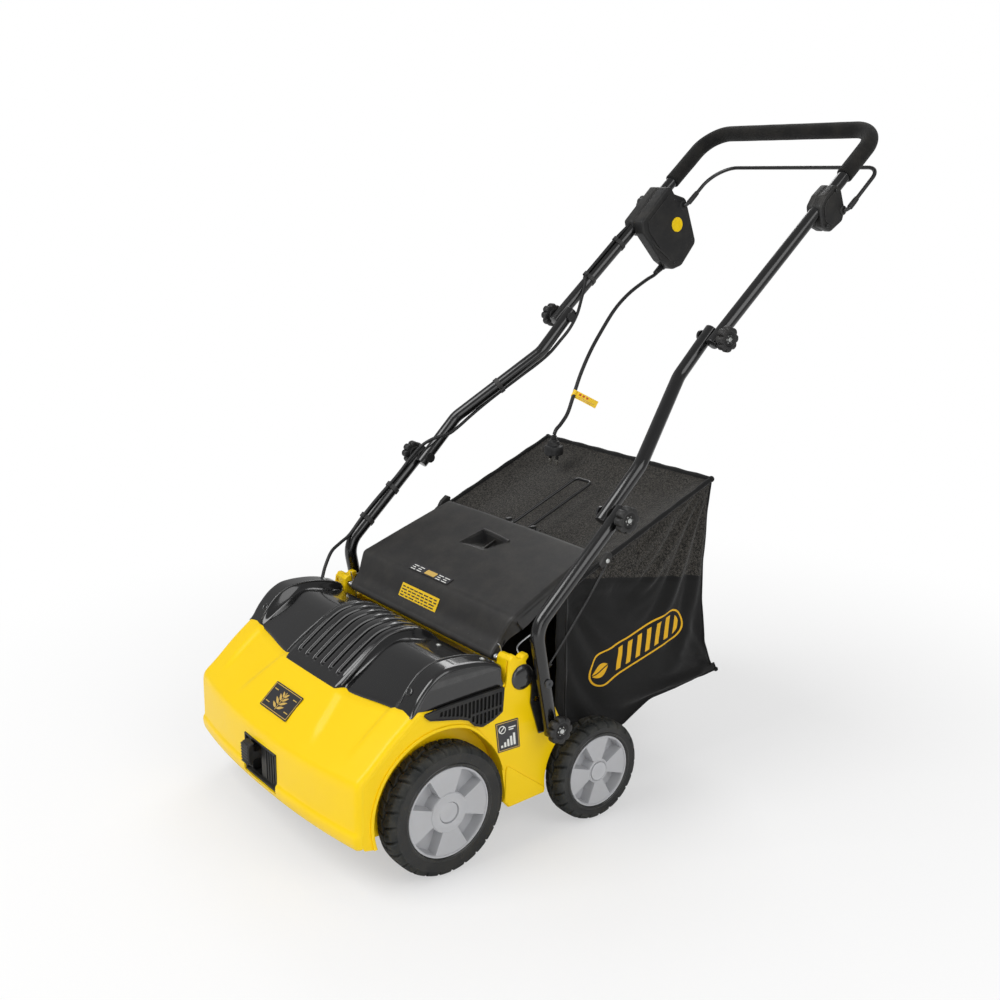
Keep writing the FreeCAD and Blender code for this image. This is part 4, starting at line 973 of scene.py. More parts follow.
def cover_line(x):
    distance = abs(x)
    arm = float(smoothstep(203, 216, distance))
    hump = 1 - float(smoothstep(75, 91, distance))
    base = PANEL.copy()
    # the panels' front edge runs back towards the arms
    front = np.linspace(1, 0, ROWS) ** 2.2
    run = float(smoothstep(80, 215, distance))
    base[:, 0] += front * run * 13.0
    base[:, 1] += front * run * 8.0
    line = base * (1 - arm) + ARM * arm
    line = line * (1 - hump) + HUMP * hump
    if distance < 74:
        groove = 0.0
        for middle in HUMP_GROOVES:
            away = abs(x - middle) / 4.3
            if away < 1.6:
                groove = max(groove, 1 - float(smoothstep(0.35, 1.25, away)))
        crown = max(cos(min(1.0, abs(x - middle) / 12.0) * pi / 2) for middle in HUMP_RIDGES)
        along = smoothstep(-58, -50, line[:, 0]) * (1 - smoothstep(84, 92, line[:, 0]))
        lift = along * (-7.0 * groove + 1.2 * crown * (1 - groove))
        line = line + normals(line) * lift[:, None]
    return line


# the side edges' rounding fades out over the first and last rows
EDGE_FADE = (np.clip(np.arange(ROWS) / 4.0, 0, 1)
             * np.clip((ROWS - 1 - np.arange(ROWS)) / 4.0, 0, 1))[:, None]


def cover_column(x, drop):
    line = cover_line(x)
    return line - normals(line) * drop * EDGE_FADE


def cover_skin():
    left = (list(np.linspace(-(COVER_HALF - COVER_CORNER), -216, 8))
            + list(np.linspace(-214, -200, 12)) + list(np.linspace(-196, -96, 22))
            + list(np.linspace(-94, -76, 13)))
    flat = left + list(np.arange(-74.5, 74.6, 1.0)) + [-x for x in left[::-1]]
    columns = rounded_columns(COVER_HALF, COVER_CORNER, 7, flat)
    verts = [(x, y, z) for x, drop in columns for y, z in cover_column(x, drop)]
    skin = make(verts, grid_faces(len(columns), ROWS), "gloss", angle=60)
    face_towards(skin, (0, 0, 1))
    solidify(skin, 3.0)
    smooth(skin, 50)
    # through slots at the back of the grooves
    for middle in HUMP_GROOVES:
        cut(skin, box(middle - 2.6, middle + 2.6, 34, 78, 285, 330))
    smooth(skin, 50)
    return skin


def cover_side(side):
    """Side wall, thin bead on the arm's inner shoulder, raised lip along the hump."""
    wall = [tuple(p) for p in cover_column(COVER_HALF, COVER_CORNER)][::2]
    wall += [(112.5, 256), (60, 254.5), (0, 252.5), (-36, 250)]
    bead = [(side * 214.5, y, z + 0.5) for y, z in cover_line(214.5)[4:-6:3]]
    lip = [(side * (86.0 - 7.0 * smoothstep(-60, 10, y)), y, z + 1.0)
           for y, z in cover_line(80)[5:-16:3]]
    return [
        plate(wall[::-1], *span(side, 247.4, COVER_HALF), "gloss", edge=0.5, angle=45),
        sweep(bead, 1.6, "gloss", seg=10),
        sweep(lip, 2.2, "gloss", seg=10,
              radii=[1.0 + 1.4 * min(1, k / 4) for k in range(len(lip))]),
    ]


def stand_on_cover(ob, x, y, first_row=0):
    """Moves a part from the origin onto the cover, its Z along the cover's normal."""
    line = cover_line(x)
    row = first_row + int(np.argmin(abs(line[first_row:, 0] - y)))
    normal = normals(line)[row]
    turn(ob, Matrix.Translation((x, *line[row]))
         @ Matrix.Rotation(-atan2(normal[0], normal[1]), 4, "X"))


BOSS_RING = [(0.2, 4.0), (1.6, 4.2), (2.0, 5.0), (1.6, 6.0), (-0.6, 6.4)]
BOSS_CUP = [(0.0, 0.01), (0.0, 4.2), (1.2, 4.2)]
COVER_SCREW = [(-1.0, 4.4), (0.4, 4.4), (1.3, 3.6), (1.7, 2.2), (1.75, 1.5), (0.7, 1.2),
               (0.7, 0.01)]
ORIGIN = (0, 0, 0)

cover_parts = [cover_skin()] + cover_side(-1) + cover_side(1)
# the cup inside each boss ring is near-black painted shade of its hole
for side in (-1, 1):
    for profile, mat, seg in ((BOSS_RING, "gloss", 28), (BOSS_CUP, "dark_hole", 24)):
        cover_parts.append(lathe(profile, ORIGIN, mat, axis="z", seg=seg))
        stand_on_cover(cover_parts[-1], side * 222, -33)
piece(join("top_cover_shell", cover_parts), "deck", "top_cover", slot="black_gloss")

screws = []
for x in (-232, -120, 120, 232):
    screws.append(lathe(COVER_SCREW, ORIGIN, "zinc", axis="z", seg=24))
    stand_on_cover(screws[-1], x, 88, first_row=ROWS // 2)
piece(join("cover_screw_heads", screws), "deck", "cover_screws", slot="zinc")

# ------------------------------------------------------------------ side grilles and caps

VENT = [(-33, 254.5), (-24, 245.5), (30, 232), (45, 226), (56, 214), (70, 208.5), (90, 214),
        (107, 223), (108.5, 240), (110.5, 262), (60, 261), (0, 258)]
VENT_RADII = [3, 4, 6, 6, 6, 8, 6, 3, 0, 3, 0, 0]
# (y, z) line that the slots' lower ends follow
VENT_LOW = np.array([(-30, 253.5), (-22, 246), (30, 232), (45, 226), (56, 214), (70, 208.5),
                     (90, 214), (107, 223)])


def vent_slots():
    """Leaning slots, split into two rows where there is height for both."""
    slots = []
    for i in range(17):
        y = -12 + i * 7.0
        bottom = float(np.interp(y + 2, VENT_LOW[:, 0], VENT_LOW[:, 1])) + 4.5
        split = 231.5 + 0.02 * y
        if bottom < split - 6:
            slots.append(fillet([(y, bottom), (y + 4.2, bottom - 0.6), (y + 4.6, split - 2.2),
                                 (y + 0.4, split - 2.2)], 0.8, 2))
            bottom = split + 1.6
        top = 252.5 + 0.03 * y
        if top - bottom > 5:
            slots.append(fillet([(y + 0.4, bottom), (y + 4.6, bottom), (y + 5.2, top),
                                 (y + 1.0, top)], 0.8, 2))
    return slots


vent_line = fillet(VENT, VENT_RADII, 4)
vent_back = fillet([(y * 0.975 + 1.0, 240 + (z - 240) * 0.96) for y, z in VENT], 2, 2)
vent_inner = [(y * 0.965 + 1.4, 239 + (z - 239) * 0.90) for y, z in vent_line]
for side, word in SIDES:
    vent = join("side_grille_" + word, [
        plate(vent_line, *span(side, 255.2, 257.8), "matte", edge=0.6, holes=vent_slots()),
        # near-black sheet behind the slots paints the shade inside the grille
        plate(vent_back, *span(side, 253.6, 254.7), "dark_hole", edge=0.3),
        plate(vent_line, *span(side, 253.0, 258.4), "matte", edge=1.0, holes=[vent_inner]),
    ])
    replaced = ["side_vents"] if side > 0 else []
    piece(vent, "deck", *replaced, slot="black_matte")

PIVOT_CAP = [(-1.5, 19.5), (0.6, 20.0), (1.8, 19.4), (3.6, 16.8), (5.0, 12.4), (5.8, 6.6),
             (6.0, 0.01)]
for side, word in SIDES:
    piece(lathe(PIVOT_CAP, (side * 254.3, 145.5, 267), "gloss", side=side, seg=56,
                name="pivot_cap_" + word), "deck", slot="black_gloss")

# ------------------------------------------------------------------ labels

LABEL_THICK = 0.35
ON_BASE = 0.36    # height of a mark that lies on a label's base plate


def flat_label(name, axes, parts, body):
    """Thin plates on a plane: axes = (origin, right, up, out), parts = (mat, outline, lift)."""
    origin, right, up, out = (np.array(axis, float) for axis in axes)
    plates = []
    for mat, outline, lift in parts:
        verts = [origin + right * a + up * b + out * height
                 for height in (lift, lift + LABEL_THICK) for a, b in outline]
        k = len(outline)
        faces = [tuple(range(k))[::-1], tuple(range(k, 2 * k))]
        faces += [(i, (i + 1) % k, k + (i + 1) % k, k + i) for i in range(k)]
        plates.append(make(verts, faces, mat, merge=0.001))
    piece(join(name, plates), body)


def line_axes(line, row, reach, x, lift):
    """Label axes on a front-to-rear line, lift above its point at the given row."""
    along = line[row + reach] - line[row - reach]
    along = along / np.linalg.norm(along)
    out = (-along[1], along[0])
    origin = (x, line[row][0] + out[0] * lift, line[row][1] + out[1] * lift)
    return origin, (1, 0, 0), (0, along[0], along[1]), (0, out[0], out[1])


def leaf(cx, cy, length, width, angle):
    steps = 9
    upper = [(length * k / steps, width * sin(pi * (k / steps) ** 0.8)) for k in range(steps + 1)]
    lower = [(a, -b) for a, b in upper[1:-1]][::-1]
    return [(cx + a * cos(angle) - b * sin(angle), cy + a * sin(angle) + b * cos(angle))
            for a, b in upper + lower]


def nose_badge():
    """Dark plate with a thin frame and a sprig of leaves on the hood's slope."""
    line = hood_profile(5.0)
    row = int(np.argmin(abs(line[:45, 0] + 119)))
    parts = [("print_dark", rect(-42, -22, 42, 22, 2), 0.0)]
    frame_bars = (-40, -20, 40, -19), (-40, 19, 40, 20), (-40, -19, -39, 19), (39, -19, 40, 19)
    parts += [("print_gold", rect(*bar), ON_BASE) for bar in frame_bars]
    parts.append(("print_gold", rect(-0.6, -16, 0.6, 15), ON_BASE))
    leaves = ((-13, 17, 0.42), (-6.5, 18, 0.52), (0, 15, 0.66), (6.5, 10.5, 0.86))
    for i, (y, length, angle) in enumerate(leaves):
        height = 0.38 + 0.02 * i
        parts.append(("print_gold", leaf(1.4, y, length, 2.3, angle), height))
        parts.append(("print_gold", leaf(-1.4, y, length, 2.3, pi - angle), height))
    for x in (-29, 29):
        for y0, y1 in ((-12, -10.6), (10.6, 12)):
            parts.append(("print_gold", rect(x - 5.5, y0, x + 5.5, y1), ON_BASE))
    flat_label("nose_badge", line_axes(line, row, 3, -3, 0.25), parts, "deck")


def side_plate():
    """Dark skewed plate on the right side with a frame, a dial mark and bars."""
    top_left, top_right, low_right, low_left = (
        np.array(p) for p in ((95.0, 205.0), (138.0, 204.0), (142.0, 155.5), (100.5, 156.5)))

    def mark(mat, points, lift=ON_BASE):
        """A mark whose points run from 0 to 1 across and up the plate."""
        placed = [tuple((1 - v) * ((1 - u) * low_left + u * low_right)
                        + v * ((1 - u) * top_left + u * top_right)) for u, v in points]
        return mat, placed, lift

    def ring(half_width, half_height):
        return [(0.27 + half_width * cos(a), 0.74 + half_height * sin(a))
                for a in np.linspace(0, 2 * pi, 28, endpoint=False)]

    frame_bars = ((0.04, 0.035, 0.06, 0.965), (0.94, 0.035, 0.96, 0.965),
                  (0.06, 0.035, 0.94, 0.055), (0.06, 0.945, 0.94, 0.965))
    text_bars = (0.55, 0.74, 0.86, 0.78), (0.55, 0.67, 0.76, 0.71)
    parts = [mark("print_dark", rect(0, 0, 1, 1, 0.04), 0.0)]
    parts += [mark("print_gold", rect(*bar)) for bar in frame_bars]
    parts += [mark("print_white", ring(0.155, 0.135)),
              mark("print_dark", ring(0.118, 0.103), 0.55),
              mark("print_white", [(0.18, 0.66), (0.36, 0.80), (0.34, 0.83), (0.17, 0.69)], 0.8)]
    parts += [mark("print_white", rect(*bar)) for bar in text_bars]
    parts += [mark("print_white", rect(0.16 + 0.14 * i, 0.14, 0.25 + 0.14 * i, 0.22 + 0.08 * i))
              for i in range(5)]
    flat_label("side_plate_right", ((254.05, 0, 0), (0, 1, 0), (0, 0, 1), (1, 0, 0)), parts,
               "deck")


nose_badge()
side_plate()

# ------------------------------------------------------------------ rear flap

FLAP_TOP = spline([(124.5, 293), (129, 300), (138, 310), (147, 328), (154, 341), (160, 347),
                   (172, 352), (230, 375.5), (280, 395), (320, 410.5), (328, 413.2)], 74)
FLAP_NORMALS = normals(FLAP_TOP)
FLAP_CORNER = 5.0
FLAP_SKIRT = 7.0
FLAP_RIB = [(168, 346), (300, 399), (300, 395), (230, 362), (168, 336)]
BARREL_HALF = 205
BARREL_WEB = [(126.5, 292), (131, 303), (137, 304), (136, 291)]
PULL = [(-49, 247), (16, 250), (38, 284), (-36, 289)]    # the finger pull's corners, (x, y)


def flap_half(y):
    return float(np.interp(y, [120, 141, 149, 157, 240, 326, 332],
                           [206.5, 206.5, 211.5, 216, 206.5, 197.5, 193]))


def flap_z(y):
    return float(np.interp(y, FLAP_TOP[:, 0], FLAP_TOP[:, 1]))


def flap_skin():
    edge = [(FLAP_CORNER * sin(t), FLAP_CORNER * (1 - cos(t)))
            for t in np.linspace(0, pi / 2, 7)[1:]] + [(FLAP_CORNER, FLAP_CORNER + FLAP_SKIRT)]
    # rows run front to rear: (share of the flat width, distance past it, drop)
    rows = [(-1, out, drop) for out, drop in edge[::-1]]
    rows += [(across, 0.0, 0.0) for across in np.linspace(-1, 1, 61)]
    rows += [(1, out, drop) for out, drop in edge]
    verts = []
    for across, out, drop in rows:
        for (y, z), normal in zip(FLAP_TOP, FLAP_NORMALS):
            crown = 2.2 * (1 - abs(across) ** 2.4) * float(smoothstep(165, 240, y))
            point = np.array((y, z)) + normal * (crown - drop)
            verts.append((across * (flap_half(y) - FLAP_CORNER + out), *point))
    skin = make(verts, grid_faces(len(rows), len(FLAP_TOP)), "flap", angle=60)
    face_towards(skin, (0, 0, 1))
    solidify(skin, 3.4)
    smooth(skin, 50)
    tool = [(x, y, flap_z(y) + dz) for dz in (-12, 14) for x, y in PULL]
    cut(skin, make(tool, [(0, 3, 2, 1), (4, 5, 6, 7), (0, 1, 5, 4), (1, 2, 6, 5), (2, 3, 7, 6),
                          (3, 0, 4, 7)], "flap"))
    smooth(skin, 50)
    return skin


def pull_pocket():
    """Lining of the finger pull, deeper towards its back edge."""
    floor = [(x, y, flap_z(y) + dz) for (x, y), dz in zip(PULL, (1.2, 1.2, -17, -17))]
    top = [(-49.6, 246.4, flap_z(246.4) + 2.2), (16.6, 249.4, flap_z(249.4) + 2.2),
           (39.2, 284.8, flap_z(284.8) + 3.6), (-37, 290, flap_z(290) + 3.6)]
    pocket = make(floor + top, [(0, 1, 2, 3), (0, 4, 5, 1), (1, 5, 6, 2), (2, 6, 7, 3),
                                (3, 7, 4, 0)], "matte", angle=20)
    modify(pocket, "SOLIDIFY", thickness=0.0016, offset=0)
    modify(pocket, "BEVEL", width=0.0005, segments=2, limit_method="ANGLE",
           angle_limit=radians(30), use_clamp_overlap=True, miter_outer="MITER_ARC")
    smooth(pocket, 50)
    modify(pocket, "WEIGHTED_NORMAL", keep_sharp=True, weight=80)
    return pocket


def flap_side_wall(side):
    """Side wall that hangs deeper over the front half of the flap."""
    verts = []
    rows = [k for k, (y, z) in enumerate(FLAP_TOP) if 137 < y < 246]
    for k in rows:
        y = FLAP_TOP[k][0]
        deep = 17.0 * float(smoothstep(136, 152, y) * (1 - smoothstep(176, 246, y)))
        for out, drop in ((0.0, 9.0), (0.0, 12.2 + deep), (-0.5, 12.7 + deep),
                          (-2.7, 12.7 + deep), (-3.2, 12.2 + deep), (-3.2, 9.0)):
            verts.append((side * (flap_half(y) + out), *(FLAP_TOP[k] - FLAP_NORMALS[k] * drop)))
    count = len(rows)
    faces = grid_faces(count, 6, closed_columns=True)
    faces += [tuple(range(6))[::-1], tuple(range((count - 1) * 6, count * 6))]
    return make(verts, faces, "flap", angle=40)


pull_lip = [(-38, 290.5, flap_z(290.5) + 3.0), (0, 288, flap_z(288) + 3.6),
            (40, 285, flap_z(285) + 3.0)]
barrel_length = 2 * BARREL_HALF
barrel = [(0, 3.1), (0, 6.2), (0.8, 7), (barrel_length - 0.8, 7), (barrel_length, 6.2),
          (barrel_length, 3.1)]
flap_parts = [flap_skin(), pull_pocket(), sweep(smooth_path(pull_lip), 2.2, "flap", seg=12),
              flap_side_wall(-1), flap_side_wall(1),
              lathe(barrel, (-BARREL_HALF, *HINGE), "flap", seg=32)]
flap_parts += [plate(fillet(BARREL_WEB, 1.0, 2), x - 1.5, x + 1.5, "flap", edge=0.5)
               for x in np.linspace(6 - BARREL_HALF, BARREL_HALF - 6, 14)]
flap_parts += [plate(fillet(FLAP_RIB, 1.5, 2), x - 1.3, x + 1.3, "flap", edge=0.5)
               for x in (-120, 0, 120)]
piece(join("flap_panel", flap_parts), "flap", "rear_flap", slot="flap_black")


def flap_axes(y, x, lift):
    row = int(np.argmin(abs(FLAP_TOP[:, 0] - y)))
    return line_axes(FLAP_TOP, row, 2, x, lift)


# yellow block with lines of dark bars on the steep face
parts = [("print_yellow", rect(-54, -11.5, 54, 11.5, 1.0), 0.0)]
draws = np.random.RandomState(3)
for row in range(4):
    y = -9.2 + row * 4.9
    x = -50.0
    while x < 47:
        width = min(float(draws.uniform(5, 15)), 50 - x)
        parts.append(("print_dark", rect(x, y, x + width, y + 2.0), ON_BASE))
        x += width + float(draws.uniform(2.2, 4.5))
flat_label("flap_label_yellow", flap_axes(141.5, -15.5, 0.55), parts, "flap")

# dark strip above the bend
parts = [("print_dark", rect(-56, -7, 56, 9, 1.0), 0.0)]
for row in range(3):
    y = -5.4 + row * 4.6
    width = 13.0 if row != 1 else 9.0
    parts += [("print_white", rect(x, y, x + width, y + 1.5), ON_BASE)
              for x in (-51.0, -34.0, 21.0, 38.0)]
parts.append(("print_gold", rect(-12, -4.6, 16, 5.6, 1.5), ON_BASE))
flat_label("flap_label_dark", flap_axes(168, -20, 0.95), parts, "flap")

# ------------------------------------------------------------------ wheels


def tyre(name, side, centre, radius, bore, width, blocks):
    """Tyre with two rows of staggered, slanted tread blocks and a sidewall bead ring."""
    cx, cy, cz = centre
    half = width / 2
    # (across, radius, tread weight, is sidewall) from the bore's edge up to the tread
    shoulder = [(-half + 3.0, bore, 0, 1), (-half + 1.0, bore + 1.0, 0, 1),
                (-half, bore + 3.2, 0, 1), (-half + 0.2, bore + 5.2, 0, 1),
                (-half + 1.2, bore + 6.2, 0, 1),
                (-half + 0.9, bore + (radius - bore) * 0.45, 0, 1),
                (-half + 0.4, bore + (radius - bore) * 0.58, 0, 1),
                (-half + 0.2, radius - 10, 0.15, 1), (-half + 1.0, radius - 7.0, 0.7, 0),
                (-half + 2.6, radius - 4.2, 1, 0), (-half + 4.8, radius - 2.2, 1, 0),
                (-half + 8.0, radius - 0.9, 1, 0)]
    crown = [(x, radius - 0.25 - 0.65 * (x / (half - 8)) ** 2, 1, 0)
             for x in np.linspace(-half + 9.2, half - 9.2, 23)]
    profile = shoulder + crown + [(-a, r, tread, wall) for a, r, tread, wall in shoulder[::-1]]
    seg = blocks * 14
    count = len(profile)
    pitch = 2 * pi / blocks

    def groove_depth(angle, across):
        """Depth from 0 to 1 of the grooves round the blocks."""
        phase = angle / pitch + (0.0 if across > 0 else 0.5)
        slant = 0.34 * abs(across) / half
        turn_part = (phase + slant) % 1.0
        to_gap = min(turn_part, 1 - turn_part) * pitch * radius
        depth = 1 - float(smoothstep(1.0, 2.2, to_gap))
        if abs(across) < half - 8:
            zigzag = 2.1 * sin(angle / pitch * 2 * pi)
            depth = max(depth, 1 - float(smoothstep(0.9, 1.9, abs(across - zigzag))))
            if 6 < abs(across) < half - 9:
                # a short sipe across each block
                turn_part = (phase + 0.5 + slant) % 1.0
                to_sipe = min(turn_part, 1 - turn_part) * pitch * radius
                depth = max(depth, 0.45 * (1 - float(smoothstep(0.5, 1.3, to_sipe))))
        return depth

    verts = []
    for j in range(seg):
        angle = 2 * pi * j / seg
        for across, r, tread, wall in profile:
            if tread:
                r = r - groove_depth(angle, across) * 3.4 * tread
            verts.append((cx + side * across, cy + r * cos(angle), cz + r * sin(angle)))
    faces = grid_faces(seg, count, closed_rows=True)
    face_mats = [int(a[3] and b[3]) for a, b in zip(profile, profile[1:])] * seg
    # the bore closes the ring against the rim
    for i in range(seg):
        here, after = i * count, (i + 1) % seg * count
        faces.append((here + count - 1, after + count - 1, after, here))
    face_mats += [1] * seg
    return make(verts, faces, ["tyre", "wall"], name, face_mats=face_mats, angle=42)


SPOKE_TURN = 49            # angle of the first pocket's middle, degrees
POCKET_HALF_ANGLE = 19.5
HALF_ANGLES = [5, 10, 14, 17.0, 18.2, 19.0, 19.7, 20.4, 21.2, 22.4, 24, 27, 31, 35, 39, 42.5]
QUARTER_ANGLES = [-45] + [-a for a in HALF_ANGLES[::-1]] + [0] + HALF_ANGLES


def rim(name, side, centre, radius, width, hub, cap, hub_rise, cap_rise):
    """Rim with four wedge spokes between four deep pockets, a hub ring, a cap and a lip."""
    cx, cy, cz = centre
    half = width / 2
    face = half - 3.0
    deep = min(19.0, width * 0.46)
    floor = face - deep
    inner, outer = hub + 1.6, radius - 4.2    # the pockets' radial limits
    radii = [4.0, cap - 0.9, cap - 0.35, cap + 0.35, cap + 0.9, (cap + hub) / 2, hub - 1.6,
             hub - 0.8, hub, hub + 0.5, inner - 0.5, inner + 0.1, inner + 0.6, inner + 1.2,
             inner + 2.4]
    radii += list(np.linspace(inner + 5, outer - 5, 8))
    radii += [outer - 2.2, outer - 1.2, outer - 0.6, outer - 0.1, outer + 0.5]
    radii += [radius - d for d in (3.3, 2.9, 2.4, 1.5, 0.7, 0.25, 0)]
    angles = [(k, a) for k in range(4) for a in QUARTER_ANGLES]

    def place(x, r, angle):
        return cx + side * x, cy + r * cos(angle), cz + r * sin(angle)

    def face_height(r, from_pocket):
        """Height of the front face; from_pocket is degrees from the pocket's middle."""
        if r > radius - 3.0:
            if radius - 2.6 < r < radius - 0.5:
                return face + 1.6
            return face + (0.9 if r < radius - 0.1 else -0.6)
        if r < cap - 0.6:
            x = face + cap_rise
        elif r < cap + 0.6:
            x = face + min(cap_rise, hub_rise) - 1.5
        elif r < hub - 0.5:
            x = face + hub_rise
        elif r < hub + 0.3:
            x = face + hub_rise - 0.6
        else:
            x = face
        inside = radians(POCKET_HALF_ANGLE - from_pocket) * r
        in_angle = float(smoothstep(-0.35, 0.35, inside))
        in_radius = float(smoothstep(inner - 0.3, inner + 0.5, r)
                          * (1 - smoothstep(outer - 0.5, outer + 0.3, r)))
        return x - deep * in_angle * in_radius

    verts = [place(face_height(r, abs(a)), r, radians(SPOKE_TURN + 90 * k + a))
             for k, a in angles for r in radii]
    rings, count = len(radii), len(angles)
    faces = grid_faces(count, rings, closed_rows=True)
    faces.append(tuple(j * rings for j in range(count)))
    # (radius, x) of the rim's inner side, from the outer edge to the axle's bore
    back = [(radius, -half + 2.2), (radius - 0.8, -half + 1.5), (radius - 3.8, -half + 1.5),
            (radius - 4.6, -half + 2.2), (radius - 4.6, floor - 3.0), (hub + 2, floor - 3.0),
            (hub - 0.5, floor - 4.0), (hub - 2, -half + 2.4), (hub - 3, -half + 1.5),
            (7.2, -half + 1.5), (6.2, -half + 2.5), (6.15, face - 8.0), (0.01, face - 8.0)]
    first, back_rings = len(verts), len(back)
    verts += [place(x, r, radians(SPOKE_TURN + 90 * k + a)) for k, a in angles for r, x in back]
    faces += grid_faces(count, back_rings, closed_rows=True, first=first)
    for i in range(count):
        j = (i + 1) % count
        faces.append((i * rings + rings - 1, j * rings + rings - 1, first + j * back_rings,
                      first + i * back_rings))
    parts = [make(verts, faces, "grey", angle=34, merge=0.003)]
    # webs behind the spokes
    for k in range(4):
        a = radians(SPOKE_TURN + 45 + 90 * k)
        web = [(cx + side * x, cy + r * cos(a) - t * sin(a), cz + r * sin(a) + t * cos(a))
               for x in (floor - 3.2, -half + 5.0) for r in (hub - 3, outer) for t in (-1.4, 1.4)]
        parts.append(make(web, BOX_FACES, "grey"))
    return join(name, parts)


# place: x and y of the centre, radius (also the axle's height), bore, width, tread blocks,
# then the rim's hub radius, cap radius, hub rise and cap rise
WHEELS = {
    "front": (250.5, 0.0, FRONT_RADIUS, 69.5, 45.0, 26, (30.0, 16.0, 1.6, -0.4)),
    "rear": (259.5, REAR_AXLE_Y, REAR_RADIUS, 58.0, 41.0, 22, (18.5, 15.5, 0.4, 1.5)),
}
for side, word in SIDES:
    for end, (x, y, radius, bore, width, blocks, hub_sizes) in WHEELS.items():
        centre = (side * x, y, radius)
        body = f"{end}_wheel_{word}"
        piece(tyre(f"{end}_tyre_tread_{word}", side, centre, radius, bore, width, blocks),
              body, f"{end}_tyre_{word}", slot="tyre")
        piece(rim(f"{end}_rim_spokes_{word}", side, centre, bore + 0.1, width, *hub_sizes),
              body, f"{end}_rim_{word}", slot="grey_plastic")

# ------------------------------------------------------------------ knobs

KNOB_RADIUS = 21.5
KNOB_NECK = 13.6    # beyond this radius the lobes begin
KNOB = [(0.0, 4.2), (0.0, 11.4), (0.6, 12.0), (3.6, 12.2), (4.0, 16.0), (4.3, KNOB_RADIUS - 2.2),
        (5.2, KNOB_RADIUS - 0.6), (7.0, KNOB_RADIUS), (14.0, KNOB_RADIUS),
        (16.2, KNOB_RADIUS - 0.8), (17.5, KNOB_RADIUS - 2.8), (18.0, KNOB_RADIUS - 5.6),
        (17.9, 13.4), (17.2, 12.2), (15.2, 11.4), (14.6, 10.4), (14.6, 8.2), (15.2, 7.2),
        (16.6, 6.6), (17.2, 5.8), (17.2, 4.2)]
KNOB_NUT = [(14.2, 7.4), (16.4, 7.4), (17.0, 6.8), (17.0, 3.9)]
KNOB_BOLT = [(12.0, 3.9), (17.6, 3.9), (18.4, 3.2), (18.5, 0.01)]


def knob_lobes(angle, along, radius):
    if radius < KNOB_NECK:
        return radius
    share = (radius - KNOB_NECK) / (KNOB_RADIUS - KNOB_NECK)
    return radius - share * 4.6 * (1 - abs(cos(angle * 4))) ** 1.6


def knob(name, side, centre):
    """Eight-lobed knob with a dished face, a nut and the bolt's end in its middle."""
    return join(name, [
        lathe(KNOB, centre, "matte", side=side, seg=128, lobes=knob_lobes, angle=40),
        lathe(KNOB_NUT, centre, "zinc", side=side, seg=6, angle=20),
        lathe(KNOB_BOLT, centre, "zinc", side=side, seg=24, angle=40),
    ])


for side, word in SIDES:
    for level, x, joint in (("deck", 280.0, DECK_KNOB), ("lower", 280.0, LOWER_JOINT),
                            ("upper", 212.1, (588.0, 729.5))):
        piece(knob(f"{level}_star_knob_{word}", side, (side * x, *joint)),
              f"knob_{level}_{word}", f"{level}_knob_{word}", slot="black_matte")

# ------------------------------------------------------------------ handle tubes

TUBE_RADIUS = 11.0
LOWER_X, MIDDLE_X, MIDDLE_TOP_X, UPPER_X = 268.4, 246.0, 178.0, 200.5
FOOT_Y, FOOT_Z = 575.8, 719.1      # lower ends of the upper tube
GRIP_Y, GRIP_Z = 978.0, 1062.6     # its cross bar
LEG_SLOPE = (GRIP_Z - FOOT_Z) / (GRIP_Y - FOOT_Y)
GRIP_BEND = 52
SADDLE = [(0, 4.3), (0, 10.0), (0.5, 10.6), (1.8, 10.6), (2.0, 9.0), (2.0, 4.3)]


def leg_z(y):
    return GRIP_Z - (GRIP_Y - y) * LEG_SLOPE


def upper_path(right_foot, left_foot, steps):
    """The upper tube's U between two (y, z) feet."""
    return bent_path([(UPPER_X, *right_foot), (UPPER_X, GRIP_Y, GRIP_Z),
                      (-UPPER_X, GRIP_Y, GRIP_Z), (-UPPER_X, *left_foot)], GRIP_BEND, steps)


lower_parts, middle_parts = [], []
for side in (1, -1):
    lower = [(190.7, 168.2), (159, 344), (325.7, 498.9)]
    middle = [(MIDDLE_X, 302.6, 476.8), (MIDDLE_X, 381, 553.5), (MIDDLE_TOP_X, 526.5, 669),
              (MIDDLE_TOP_X, 599.4, 740.7)]
    lower_parts.append(sweep(bent_path([(side * LOWER_X, y, z) for y, z in lower], 45, 14),
                             TUBE_RADIUS, "tube", seg=32))
    middle_parts.append(sweep(bent_path([(side * x, y, z) for x, y, z in middle], 45, 12),
                              TUBE_RADIUS, "tube", seg=32))
    # washer between the tubes at the joint
    lower_parts.append(lathe(SADDLE, (side * (LOWER_X - 13.2), *LOWER_JOINT), "matte", side=side,
                             seg=32))
piece(join("lower_tube_pair", lower_parts), "deck", "lower_tubes", slot="tube_black")
piece(join("middle_tube_pair", middle_parts), "middle_handle", "middle_tubes", slot="tube_black")
upper = upper_path((FOOT_Y, FOOT_Z), (FOOT_Y, FOOT_Z), 16)
piece(sweep(upper, TUBE_RADIUS, "tube", seg=32, name="upper_tube_bar"), "upper_handle",
      "upper_tube", slot="tube_black")

# slightly uneven foam sleeve over the cross bar
grip = upper_path((886, leg_z(886)), (872, leg_z(872)), 20)
dense = [grip[0]]
for start, end in zip(grip, grip[1:]):
    steps = max(1, int((end - start).length / 5.0))
    dense += [start.lerp(end, k / steps) for k in range(1, steps + 1)]
foam_radii = [14.5 + 0.22 * noise.noise(Vector((p.x * 0.035, p.y * 0.035, p.z * 0.035)))
              for p in dense]
piece(sweep(dense, 14.5, "foam", seg=36, radii=foam_radii, name="foam_sleeve"),
      "upper_handle", "foam_grip", slot="foam")

# ------------------------------------------------------------------ switch box and lock button

